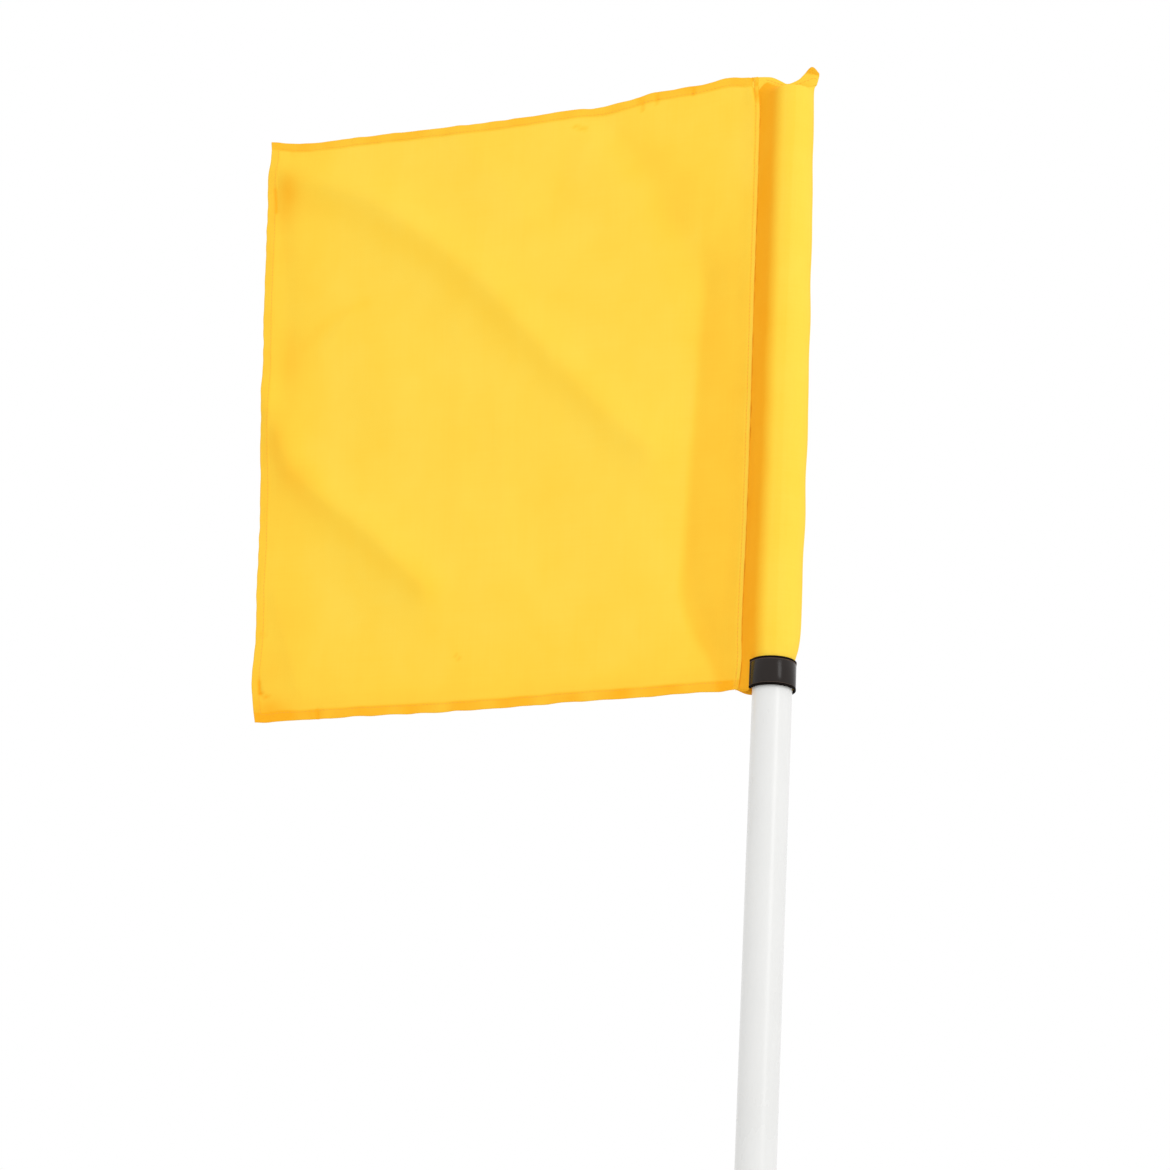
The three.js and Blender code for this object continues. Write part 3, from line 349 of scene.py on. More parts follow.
# Steel: which edges are rounded, the screws, and the spring's end coils at its cross pins
FLAT_ANGLE = math.radians(1)
EDGE_DEGREES = 34
MOULDED_DEGREES = 50
SCREW_DEGREES = 40
ZINC_SHINE = 1.15
SCREW_DOME, SCREW_POINT, SHANK_RADIUS = 2.4 * MM, 2 * MM, 2 * MM
CROSS_ARM, CROSS_SLOT, CROSS_DEPTH = 2.2 * MM, 0.5 * MM, 1.1 * MM
SCREW_SIDES = 96
HEAD_RINGS, RING_GAP, LAST_RING_SHARE = 13, 0.25 * MM, 0.93
WIRE_SIDES = 16
SPIGOT = 15 * MM
PIN_CLIMB = 7.6 * MM
CLIMB_TURNS = (0.61, 1.056)
POINTS_PER_TURN = 48

# Camera of the photograph
CAMERA_PLACE = Vector((687.4, -2040.2, 478.3)) * MM
CAMERA_HEADING = math.radians(22.45)
CAMERA_PITCH = math.radians(18.18)
CAMERA_ROLL = math.radians(3.19)
SENSOR_WIDTH = 36
VIEW_REACH = 100

# Studio: its floor, the side that its soft light comes from, and its key light
FLOOR_RADIUS = 12.0
FLOOR_SIDES = 64
BRIGHT_SIDE = (0.85, -0.45, 0.3)
AMBIENT_SHARES = (0.82, 1.18)
KEY_PLACE = (2.7, -2.1, 2.3)
KEY_SIZE = (0.9, 2.2)


def linear(code):
    """Turns a colour written as #RRGGBB into linear red, green, blue and alpha."""
    shares = [int(code[place:place + 2], 16) / 255 for place in (1, 3, 5)]
    rgb = [s / 12.92 if s <= 0.04045 else ((s + 0.055) / 1.055) ** 2.4 for s in shares]
    return (*rgb, 1.0)


def length(name, description, default):
    return FloatProperty(name=name, description=description, default=default, unit="LENGTH",
                         precision=5, min=0)


def colour(name, description, code):
    return FloatVectorProperty(name=name, description=description, default=linear(code),
                               subtype="COLOR", size=4, min=0, max=1)


class ClothSettings(bpy.types.PropertyGroup):
    cloth: length("Cloth", "Thickness of one layer of the cloth", 0.35 * MM)
    hem: length("Hem", "Thickness of the three layers of a hem", 1.1 * MM)
    hem_width: length("Hem width", "Width of the hems on three sides", 7.5 * MM)
    lap: length("Seam lap", "How far the panel laps over the sleeve past the seam", 2.7 * MM)
    step: length("Mesh step", "Distance between the grid lines of the cloth's mesh", 3 * MM)
    stitch: length("Stitch", "Length of a stitch", 2.5 * MM)
    gap: length("Stitch gap", "Gap between two stitches", 0.7 * MM)
    thread: length("Thread", "Thickness of the thread", 0.42 * MM)
    light: colour("Light cloth", "The cloth's palest tone", "#FFDD57")
    plain: colour("Plain cloth", "The cloth's own tone", "#FFD242")
    # The deep tone is where two layers lie together, and also painted shade: on the sleeve's strip,
    # flat top and ear, and on the panel's folds, creases and turned-away places
    deep: colour("Deep cloth", "Tone where layers lie double", "#FFA808")
    thread_tone: colour("Thread tone", "Colour of the thread", "#F3B93A")


class PlasticSettings(bpy.types.PropertyGroup):
    pole_edge: length("Pole edge", "Rounding of the tube's cut ends", 0.4 * MM)
    pole_wall: length("Pole wall", "Wall of the tube", 2 * MM)
    clip_edge: length("Clip edge", "Rounding of the clip's rims", 0.6 * MM)
    bead: length("Clip bead", "Height of the bead along each rim of the clip", 0.3 * MM)
    bead_width: length("Bead width", "Width of the bead along each rim", 1.9 * MM)
    clip_wall: length("Clip wall", "Wall of the clip", 1.5 * MM)
    lip: length("Clip lip", "Radius of the lips at the clip's mouth", 1.1 * MM)
    white: colour("White plastic", "Colour of the tube and its cap", "#E6E6E5")
    black: colour("Black plastic", "Colour of the clip and the plug", "#221B18")


class SteelSettings(bpy.types.PropertyGroup):
    edge: length("Edge", "Rounding of the machined edges", 0.3 * MM)
    wire: length("Wire", "Thickness of the spring's wire", 3.5 * MM)
    turns: IntProperty(name="Turns", description="Turns of the spring", default=14, min=4)
    screws: IntProperty(name="Screws", description="Screws round the pole", default=3, min=1)
    zinc: colour("Zinc", "Tone of the zinc coat", "#A9ABAD")
    spring: colour("Spring steel", "Tone of the oiled spring", "#4A4C4F")


class StageSettings(bpy.types.PropertyGroup):
    lens: FloatProperty(name="Lens", description="Focal length", default=92.3, unit="CAMERA")
    ambient: FloatProperty(name="Ambient", description="Level of the light all round",
                           default=0.905, min=0)
    key: FloatProperty(name="Key", description="Power of the key light", default=21, unit="POWER")
    floor: colour("Floor", "Colour of the floor", "#F4F4F2")


GROUPS = {
    "flag_cloth": ClothSettings,
    "flag_plastic": PlasticSettings,
    "flag_steel": SteelSettings,
    "flag_stage": StageSettings,
}


def smooth(value, low, high):
    """Rises from 0 at low to 1 at high along a smooth step."""
    share = np.clip((value - low) / (high - low), 0, 1)
    return share * share * (3 - 2 * share)


def curved(value, table):
    """Reads a table of places and heights along a smooth curve through all its points."""
    places, heights = np.array(table, float).T
    secants = np.diff(heights) / np.diff(places)
    slopes = np.concatenate([secants[:1], (secants[1:] + secants[:-1]) / 2, secants[-1:]])
    row = np.clip(np.searchsorted(places, value, side="right") - 1, 0, len(places) - 2)
    span = places[row + 1] - places[row]
    t = np.clip((value - places[row]) / span, 0, 1)
    rest = 1 - t
    return (
        heights[row] * rest * rest * (1 + 2 * t) + heights[row + 1] * t * t * (3 - 2 * t)
        + span * t * rest * (slopes[row] * rest - slopes[row + 1] * t)
    )


def ripples(u, v, wavelength, seed, waves=7):
    """A smooth uneven height of about -1 to 1 over two lengths, the same on every run."""
    dice = np.random.default_rng(seed)
    total = np.zeros(np.broadcast(u, v).shape)
    for _ in range(waves):
        angle, phase = dice.uniform(0, TURN, 2)
        stretch = wavelength * dice.uniform(0.7, 1.6)
        total += np.sin(TURN * (u * math.cos(angle) + v * math.sin(angle)) / stretch + phase)
    return total / math.sqrt(waves)


def grid_quads(rows, columns):
    """The faces of a grid of points, numbered row by row."""
    first = np.arange(rows - 1)[:, None] * columns + np.arange(columns - 1)[None, :]
    quads = np.stack([first, first + 1, first + columns + 1, first + columns], -1)
    return quads.reshape(-1, 4)


def placed(name, data):
    """A new object in the scene, with its data."""
    made = bpy.data.objects.new(name, data)
    bpy.context.scene.collection.objects.link(made)
    return made


def new_mesh(name, points, faces, material, uv=None, marks=None):
    """An object made of points and faces, with a uv map in metres and named point values."""
    mesh = bpy.data.meshes.new(name)
    mesh.from_pydata(np.asarray(points, float).reshape(-1, 3).tolist(), [],
                     [list(map(int, face)) for face in faces])
    if uv is not None:
        layer = mesh.uv_layers.new(name="UVMap")
        corners = np.empty(len(mesh.loops), int)
        mesh.loops.foreach_get("vertex_index", corners)
        layer.data.foreach_set("uv", np.asarray(uv, float).reshape(-1, 2)[corners].ravel())
    for mark, values in (marks or {}).items():
        held = mesh.attributes.new(mark, "FLOAT", "POINT")
        held.data.foreach_set("value", np.asarray(values, np.float32).ravel())
    if material:
        mesh.materials.append(material)
    mesh.shade_smooth()
    return placed(name, mesh)


def baked(piece):
    """Gives the piece the plain mesh that its modifiers make, and takes them off."""
    bpy.context.view_layer.update()
    shaped = piece.evaluated_get(bpy.context.evaluated_depsgraph_get())
    mesh = bpy.data.meshes.new_from_object(shaped)
    piece.modifiers.clear()
    old = piece.data
    piece.data = mesh
    mesh.name = piece.name
    bpy.data.meshes.remove(old)
    return piece


def closed_up(piece, distance=MERGE_DISTANCE):
    """Merges points that coincide and turns every face outwards."""
    shell = bmesh.new()
    shell.from_mesh(piece.data)
    bmesh.ops.remove_doubles(shell, verts=shell.verts, dist=distance)
    bmesh.ops.recalc_face_normals(shell, faces=shell.faces)
    shell.to_mesh(piece.data)
    shell.free()
    return piece


def crisp(piece, degrees=32):
    """Smooth shading that stays sharp at real edges."""
    piece.data.shade_smooth()
    piece.data.set_sharp_from_angle(angle=math.radians(degrees))
    return piece


def seated(piece, body, slot, *nodes):
    """Fixes a piece to its body in place of the nodes that it stands for."""
    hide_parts(*nodes)
    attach(piece, body)
    return piece


def node(tree, kind, inputs=None, stops=(), **settings):
    """Adds a node with its settings and a colour ramp's stops, and sets its inputs or links
    them, to an output or to a node's first one."""
    made = tree.nodes.new(kind)
    for name, value in settings.items():
        setattr(made, name, value)
    if stops:
        elements = made.color_ramp.elements
        while len(elements) < len(stops):
            elements.new(0.5)
        for element, (place, tone) in zip(elements, stops):
            element.position = place
            element.color = tone
    for name, value in (inputs or {}).items():
        if isinstance(value, bpy.types.Node):
            value = value.outputs[0]
        if isinstance(value, bpy.types.NodeSocket):
            tree.links.new(value, made.inputs[name])
        else:
            made.inputs[name].default_value = value
    return made


def per_metre(spacings):
    """How often a pattern comes in a metre: from one spacing in millimetres for all directions,
    or from one for each."""
    return [1 / (float(spacing) * MM) for spacing in np.broadcast_to(spacings, 3)]


def surface(name, *patterns, drawn_in="Object"):
    """A new empty material, its tree, the coordinates that it is drawn in, and its cloudy
    patterns, each from its spacings in millimetres and its detail."""
    material = bpy.data.materials.new(name)
    material.use_nodes = True
    tree = material.node_tree
    tree.nodes.clear()
    place = node(tree, "ShaderNodeTexCoord").outputs[drawn_in]
    clouds = []
    for spacings, detail in patterns:
        counted = node(tree, "ShaderNodeVectorMath", {0: place, 1: per_metre(spacings)},
                       operation="MULTIPLY")
        inputs = {"Vector": counted, "Scale": 1.0, "Detail": detail}
        clouds.append(node(tree, "ShaderNodeTexNoise", inputs))
    return material, tree, place, *clouds


def dimmed(tone, share):
    """A colour with a share of its light."""
    return (*(channel * share for channel in tone[:3]), 1.0)


def woven_polyester(cloth):
    """Plain-woven polyester flag cloth: dyed through, matt, with a faint sheen on the yarns.

    The yarns lie 0.35 mm apart on the real cloth and are drawn 0.6 mm apart to show. Slightly
    thicker yarns run through it as faint streaks. It looks deeper where two layers lie together,
    and the same deep tone is painted shade where the cloth turns away, along folds and in creases.
    """
    yarn, streak_share, cloud_share, deep_share = 0.6, 0.08, 0.22, 0.66
    material, tree, flat, thick_wefts, thick_warps, clouds, crumples = surface(
        "woven polyester cloth", ((90, 0.9, 1), 3.0), ((0.9, 90, 1), 3.0), ((38, 52, 1), 4.0),
        ((14, 17, 1), 5.0), drawn_in="UV")
    counted = node(tree, "ShaderNodeVectorMath", {0: flat, 1: per_metre(yarn)},
                   operation="MULTIPLY")
    waves = []
    for count in node(tree, "ShaderNodeSeparateXYZ", {0: counted}).outputs[:2]:
        turned_by = node(tree, "ShaderNodeMath", {0: count, 1: math.pi}, operation="MULTIPLY")
        waves.append(node(tree, "ShaderNodeMath", {0: turned_by}, operation="SINE"))
    weave = node(tree, "ShaderNodeMath", {0: waves[0], 1: waves[1]}, operation="MULTIPLY")
    streaks = node(tree, "ShaderNodeMath", {0: thick_wefts, 1: thick_warps}, operation="ADD")
    cloudy = node(tree, "ShaderNodeMath", {0: clouds, 1: cloud_share}, operation="MULTIPLY")
    dye = node(tree, "ShaderNodeMath", {0: streaks, 1: streak_share, 2: cloudy},
               operation="MULTIPLY_ADD")
    # The deep mark: where two layers lie together, and painted shade beside the sleeve's seam, on
    # its flat top and ear, and on the panel's folds, creases and turned-away places
    double_and_shaded = node(tree, "ShaderNodeAttribute", attribute_name="deep").outputs["Fac"]
    tone = node(tree, "ShaderNodeMath", {0: double_and_shaded, 1: deep_share, 2: dye},
                operation="MULTIPLY_ADD")
    crumple = node(tree, "ShaderNodeBump", {
        "Height": crumples, "Distance": 0.5 * MM, "Strength": 0.35,
    })
    shader = node(tree, "ShaderNodeBsdfPrincipled", {
        "Base Color": node(tree, "ShaderNodeValToRGB", {"Fac": tone}, stops=(
            (0.0, cloth.light), (0.28, cloth.plain), (1.0, cloth.deep),
        )),
        "Roughness": 0.78,
        "Specular IOR Level": 0.06,
        "Sheen Weight": 0.02,
        "Sheen Roughness": 0.5,
        "Normal": node(tree, "ShaderNodeBump", {
            "Height": weave, "Distance": 0.05 * MM, "Strength": 0.3, "Normal": crumple,
        }),
    })
    node(tree, "ShaderNodeOutputMaterial", {"Surface": shader})
    return material


def polyester_thread(cloth):
    """Twisted sewing thread, a little glossier than the cloth."""
    material, tree, _, twist = surface("polyester sewing thread", (0.3, 3.0))
    shader = node(tree, "ShaderNodeBsdfPrincipled", {
        "Base Color": node(tree, "ShaderNodeValToRGB", {"Fac": twist}, stops=(
            (0.3, cloth.deep), (0.7, cloth.thread_tone),
        )),
        "Roughness": 0.5,
        "Normal": node(tree, "ShaderNodeBump", {
            "Height": twist, "Distance": 0.08 * MM, "Strength": 0.6,
        }),
    })
    node(tree, "ShaderNodeOutputMaterial", {"Surface": shader})
    return material


def white_plastic(name, plastics, worn, grain, roughness, gloss):
    """White plastic: an even colour, fine grain or drawing lines, and slightly uneven gloss."""
    material, tree, _, smudges, fine = surface(name, ((22, 22, 60), 4.0), (grain, 3.0))
    white = plastics.white
    shader = node(tree, "ShaderNodeBsdfPrincipled", {
        "Base Color": node(tree, "ShaderNodeValToRGB", {"Fac": smudges}, stops=(
            (0.3, dimmed(white, worn)), (0.62, white),
        )),
        "Roughness": node(tree, "ShaderNodeMapRange", {
            "Value": smudges, "To Min": roughness * 0.8, "To Max": roughness * 1.25,
        }),
        "Specular IOR Level": gloss,
        "Normal": node(tree, "ShaderNodeBump", {
            "Height": fine, "Distance": 0.02 * MM, "Strength": 0.35,
        }),
    })
    node(tree, "ShaderNodeOutputMaterial", {"Surface": shader})
    return material


def extruded_pvc(plastics):
    """Extruded rigid PVC tube: white and glossy, with faint drawing lines along its length."""
    return white_plastic("extruded white PVC", plastics, worn=0.97, grain=(1.4, 1.4, 300),
                         roughness=0.28, gloss=0.5)


def moulded_white(plastics):
    """Moulded polyethylene cap: softer white with a waxy gloss."""
    return white_plastic("moulded white polyethylene", plastics, worn=0.94, grain=0.4,
                         roughness=0.42, gloss=0.4)


def moulded_black(plastics):
    """Moulded black nylon: nearly black and satin; where a rim shows the mould's joint it is
    rougher, and painted darker there as shade.
    """
    smudge_share, rim_share = 0.3, 0.9
    material, tree, _, blotches, grain = surface("moulded black nylon", ((9, 9, 14), 4.0),
                                                 (0.35, 3.0))
    smudges = node(tree, "ShaderNodeMath", {0: blotches, 1: smudge_share}, operation="MULTIPLY")
    # The rim mark: rougher there, and painted darker as shade
    rim = node(tree, "ShaderNodeAttribute", attribute_name="rim").outputs["Fac"]
    duller_and_shaded = node(tree, "ShaderNodeMath", {0: rim, 1: rim_share, 2: smudges},
                  operation="MULTIPLY_ADD")
    black = plastics.black
    shader = node(tree, "ShaderNodeBsdfPrincipled", {
        "Base Color": node(tree, "ShaderNodeValToRGB", {"Fac": duller_and_shaded}, stops=(
            (0.1, black), (1.0, dimmed(black, 0.3)),
        )),
        "Roughness": node(tree, "ShaderNodeMapRange", {
            "Value": duller_and_shaded, "To Min": 0.1, "To Max": 0.75,
        }),
        "Specular IOR Level": 0.24,
        "Normal": node(tree, "ShaderNodeBump", {
            "Height": grain, "Distance": 0.02 * MM, "Strength": 0.35,
        }),
    })
    node(tree, "ShaderNodeOutputMaterial", {"Surface": shader})
    return material


def painted_rim_nylon(name, plastics, share):
    """The clip's nylon with no gloss left: painted darker as shade on its trimmed rims, and painted
    pale as a highlight line on the edges inside them."""
    material, tree, _, grain = surface(name, (0.4, 3.0))
    black = dimmed(plastics.black, share)
    shader = node(tree, "ShaderNodeBsdfPrincipled", {
        "Base Color": node(tree, "ShaderNodeValToRGB", {"Fac": grain}, stops=(
            (0.3, dimmed(black, 0.6)), (0.7, black),
        )),
        "Roughness": 0.8,
        "Specular IOR Level": 0.05,
        "Normal": node(tree, "ShaderNodeBump", {
            "Height": grain, "Distance": 0.03 * MM, "Strength": 0.4,
        }),
    })
    node(tree, "ShaderNodeOutputMaterial", {"Surface": shader})
    return material


def galvanised_steel(steel):
    """Hot-dip galvanised steel: grey crystals about 7 mm across, some brighter, all satin."""
    crystal, scuff_share, crystal_share = 7, 0.7, 0.3
    material, tree, place, scuffs = surface("hot-dip galvanised steel", ((1.5, 1.5, 9), 5.0))
    counted = node(tree, "ShaderNodeVectorMath", {0: place, 1: per_metre(crystal)},
                   operation="MULTIPLY")
    flakes = node(tree, "ShaderNodeTexVoronoi", {"Vector": counted, "Scale": 1.0})
    flake = node(tree, "ShaderNodeSeparateColor", {0: flakes.outputs["Color"]})
    dull = node(tree, "ShaderNodeMath", {0: flake, 1: crystal_share}, operation="MULTIPLY")
    dull = node(tree, "ShaderNodeMath", {0: scuffs, 1: scuff_share, 2: dull},
                operation="MULTIPLY_ADD")
    shader = node(tree, "ShaderNodeBsdfPrincipled", {
        "Base Color": node(tree, "ShaderNodeValToRGB", {"Fac": flake}, stops=(
            (0.0, dimmed(steel.zinc, 0.8)), (1.0, steel.zinc),
        )),
        "Metallic": 1.0,
        "Roughness": node(tree, "ShaderNodeMapRange", {
            "Value": dull, "To Min": 0.3, "To Max": 0.62,
        }),
        "Normal": node(tree, "ShaderNodeBump", {
            "Height": scuffs, "Distance": 0.05 * MM, "Strength": 0.4,
        }),
    })
    node(tree, "ShaderNodeOutputMaterial", {"Surface": shader})
    return material


def plated_steel(name, tone, roughness):
    """Turned or drawn steel with a thin bright plating or oil film and fine tool marks."""
    material, tree, _, marks, stains = surface(name, ((0.5, 0.5, 0.15), 3.0), (6, 4.0))
    shader = node(tree, "ShaderNodeBsdfPrincipled", {
        "Base Color": node(tree, "ShaderNodeValToRGB", {"Fac": stains}, stops=(
            (0.35, dimmed(tone, 0.82)), (0.6, tone),
        )),
        "Metallic": 1.0,
        "Roughness": node(tree, "ShaderNodeMapRange", {
            "Value": stains, "To Min": roughness * 0.75, "To Max": roughness * 1.3,
        }),
        "Normal": node(tree, "ShaderNodeBump", {
            "Height": marks, "Distance": 0.02 * MM, "Strength": 0.3,
        }),
    })
    node(tree, "ShaderNodeOutputMaterial", {"Surface": shader})
    return material


def painted_floor(stage):
    """Matt white studio floor: it keeps a soft shadow and fades into the white far away."""
    material, tree, place, mottle = surface("matt white studio floor", (400, 4.0))
    pale = stage.floor
    paint = node(tree, "ShaderNodeBsdfPrincipled", {
        "Base Color": node(tree, "ShaderNodeValToRGB", {"Fac": mottle}, stops=(
            (0.2, dimmed(pale, 0.98)), (0.8, pale),
        )),
        "Roughness": 0.9,
        "Specular IOR Level": 0.1,
    })
    glow = node(tree, "ShaderNodeEmission", {"Color": (1, 1, 1, 1), "Strength": 1.0})
    distance = node(tree, "ShaderNodeVectorMath", {0: place}, operation="LENGTH")
    fade = node(tree, "ShaderNodeMapRange", {
        "Value": distance.outputs["Value"], "From Min": 0.8, "From Max": 3.0,
        "To Min": 0.55, "To Max": 1.0,
    })
    seen = node(tree, "ShaderNodeLightPath").outputs["Is Camera Ray"]
    share = node(tree, "ShaderNodeMath", {0: seen, 1: fade}, operation="MULTIPLY")
    both = node(tree, "ShaderNodeMixShader", {0: share, 1: paint, 2: glow})
    node(tree, "ShaderNodeOutputMaterial", {"Surface": both})
    return material


def geometry_tree(name, **sockets):
    """A Geometry Nodes tree with a geometry going in and out, and its named inputs."""
    tree = bpy.data.node_groups.new(name, "GeometryNodeTree")
    face = tree.interface
    face.new_socket(name="Geometry", in_out="INPUT", socket_type="NodeSocketGeometry")
    face.new_socket(name="Geometry", in_out="OUTPUT", socket_type="NodeSocketGeometry")
    for label, kind in sockets.items():
        face.new_socket(name=label, in_out="INPUT", socket_type="NodeSocket" + kind)
    return tree, node(tree, "NodeGroupInput").outputs


def end_tree(tree, geometry, material):
    """Ends a tree in plain geometry with its material."""
    plain = node(tree, "GeometryNodeRealizeInstances", {"Geometry": geometry})
    covered = node(tree, "GeometryNodeSetMaterial", {
        "Geometry": plain.outputs[0], "Material": material,
    })
    node(tree, "NodeGroupOutput", {"Geometry": covered.outputs[0]})
    return tree


def grown(piece, tree, values):
    """Runs a tree on a piece with its named inputs, and keeps the mesh that comes out."""
    modifier = piece.modifiers.new(tree.name, "NODES")
    modifier.node_group = tree
    for socket in tree.interface.items_tree:
        if socket.in_out == "INPUT" and socket.name in values:
            modifier[socket.identifier] = values[socket.name]
    return baked(piece)


def path_piece(name, points, breaks=()):
    """A bare line through points, left open where a break's number says so."""
    mesh = bpy.data.meshes.new(name)
    edges = [(i, i + 1) for i in range(len(points) - 1) if i + 1 not in breaks]
    mesh.from_pydata([tuple(point) for point in points], edges, [])
    return placed(name, mesh)


def stitch_tree():
    """Stitches along a line: stretched beads a pitch apart, each lying along the line."""
    tree, given = geometry_tree("stitches", Pitch="Float", Length="Float", Thread="Float",
                                Material="Material")
    line = node(tree, "GeometryNodeMeshToCurve", {"Mesh": given["Geometry"]})
    places = node(tree, "GeometryNodeCurveToPoints", {
        "Curve": line.outputs[0], "Length": given["Pitch"],
    }, mode="LENGTH")
    bead = node(tree, "GeometryNodeMeshUVSphere", {"Segments": 6, "Rings": 5, "Radius": 0.5})
    size = node(tree, "ShaderNodeCombineXYZ", {
        0: given["Thread"], 1: given["Thread"], 2: given["Length"],
    })
    stitches = node(tree, "GeometryNodeInstanceOnPoints", {
        "Points": places.outputs["Points"], "Instance": bead.outputs["Mesh"],
        "Rotation": places.outputs["Rotation"], "Scale": size.outputs[0],
    })
    return end_tree(tree, stitches.outputs[0], given["Material"])


def wire_tree():
    """Round wire along a line, closed at both ends."""
    tree, given = geometry_tree("spring wire", Radius="Float", Sides="Int", Material="Material")
    line = node(tree, "GeometryNodeMeshToCurve", {"Mesh": given["Geometry"]})
    section = node(tree, "GeometryNodeCurvePrimitiveCircle", {
        "Resolution": given["Sides"], "Radius": given["Radius"],
    })
    wire = node(tree, "GeometryNodeCurveToMesh", {
        "Curve": line.outputs[0], "Profile Curve": section.outputs[0], "Fill Caps": True,
    })
    return end_tree(tree, wire.outputs[0], given["Material"])


def round_tree():
    """Copies of one shape set evenly round the upright axis."""
    tree, given = geometry_tree("ring of screws", Count="Int", Material="Material")
    places = node(tree, "GeometryNodePoints", {"Count": given["Count"]})
    number = node(tree, "GeometryNodeInputIndex").outputs[0]
    share = node(tree, "ShaderNodeMath", {0: number, 1: given["Count"]}, operation="DIVIDE")
    angle = node(tree, "ShaderNodeMath", {0: share, 1: TURN}, operation="MULTIPLY")
    turn = node(tree, "ShaderNodeCombineXYZ", {2: angle})
    copies = node(tree, "GeometryNodeInstanceOnPoints", {
        "Points": places.outputs[0], "Instance": given["Geometry"], "Rotation": turn.outputs[0],
    })
    return end_tree(tree, copies.outputs[0], given["Material"])


def bell(distance, reach):
    """1 at no distance, and close to 0 from twice the reach."""
    return np.exp(-(distance / reach) ** 2)


def uneven(u, v, kind):
    """Ripples of a kind that is given as height, wavelength and seed."""
    height, wavelength, seed = kind
    return height * ripples(u, v, wavelength, seed)


def line_distance(across, up, start, finish, size=(1, 1)):
    """Distance from a straight line on the panel, in shares, or in metres with its real size."""
    first, last = np.array(start) * size, np.array(finish) * size
    run = last - first
    aside, high = across * size[0] - first[0], up * size[1] - first[1]
    share = np.clip((aside * run[0] + high * run[1]) / (run @ run), 0, 1)
    return np.hypot(aside - run[0] * share, high - run[1] * share)


def path_distance(across, up, path):
    """How far points of the panel lie from a line of points, all as shares."""
    lines = zip(path, path[1:])
    return np.min([line_distance(across, up, start, finish) for start, finish in lines], axis=0)


def fold_offset(across, up):
    """How far the panel's folds stand out of its plane, towards the back."""
    offset = 0
    for path, width, depth in FOLD_SHARES:
        off = FOLD_CREST * path_distance(across, up, path) / width
        offset = offset - FOLD_DEPTH * depth * np.exp(1 - np.sqrt(1 + off ** 2))
    return offset * smooth(across, 0, SEAM_CALM_SHARE)


def crease_depth(across, up):
    """How deep the panel's small creases are, in millimetres."""
    size = (PANEL_WIDTH, FLAG_HEIGHT)
    return sum(depth * bell(line_distance(across, up, start, finish, size), width * MM)
               for start, finish, width, depth in CREASES)


def edge_distance(out, up):
    """Distance on the panel to its nearest hemmed edge, in metres."""
    return np.minimum(np.minimum(up, 1 - up) * FLAG_HEIGHT, PANEL_WIDTH - out)


def panel_place(out, up, side, cloth):
    """Points of the panel: out is the distance from the seam, up the share of the height, and
    side is -1 on the front skin, 1 on the back skin and 0 between them."""
    across = np.clip(out / PANEL_WIDTH, 0, 1)
    height = up * FLAG_HEIGHT
    edge = edge_distance(out, up)
    near_edge = bell(edge, EDGE_REACH)
    wobble = near_edge * uneven(out, height, EDGE_WOBBLE)
    widen = 1 + PANEL_SHEAR / PANEL_WIDTH * (2 * up - 1) * (out > 0)
    x = SEAM_X - out * widen - FLY_BULGE * curved(up, FLY_BULGE_SHARES) * across ** 3
    shift = LAP_SHIFT * curved(up, LAP_SHIFT_SHARES) * bell(np.maximum(out, 0), LAP_SHIFT_REACH)
    x = x + shift + wobble * (out > PANEL_WIDTH / 2)
    sag = TOP_SAG * curved(across, TOP_SAG_SHARES) * smooth(up, 1 - TOP_SAG_REACH_SHARE, 1)
    lift = BOTTOM_LIFT * curved(across, BOTTOM_LIFT_SHARES)
    lift = lift * smooth(1 - up, 1 - BOTTOM_LIFT_REACH_SHARE, 1)
    z = FLAG_BOTTOM + height - sag + lift + wobble
    lapped = 1 - smooth(out, *TAIL_COVER)
    loose = smooth(across, 0, LOOSE_FROM_SHARE) * uneven(out, height, LOOSE_RIPPLE)
    rippled = near_edge * uneven(out, height, EDGE_RIPPLE)
    seam = bell(out, SEAM_REACH) * uneven(out, height, SEAM_RIPPLE)
    y = fold_offset(across, up) + loose + rippled + crease_depth(across, up) * MM + seam
    y = y - (TAIL_HALF + LAP_ROOM + cloth.hem / 2) * lapped
    near_step, far_step = HEM_STEP_SHARES
    hem = 1 - smooth(edge, near_step * cloth.hem_width, far_step * cloth.hem_width)
    sewn = 1 - smooth(out, *SEWN_STEP)
    thick = cloth.cloth + (cloth.hem - cloth.cloth) * np.maximum(hem, sewn)
    row = np.minimum(np.abs(edge - HEM_STITCH_SHARE * cloth.hem_width),
                     np.abs(out - SEAM_STITCH_OUT))
    y = y + side * (thick / 2 - STITCH_GROOVE * bell(row, STITCH_GROOVE_REACH))
    return np.stack(np.broadcast_arrays(x, y, z), -1)


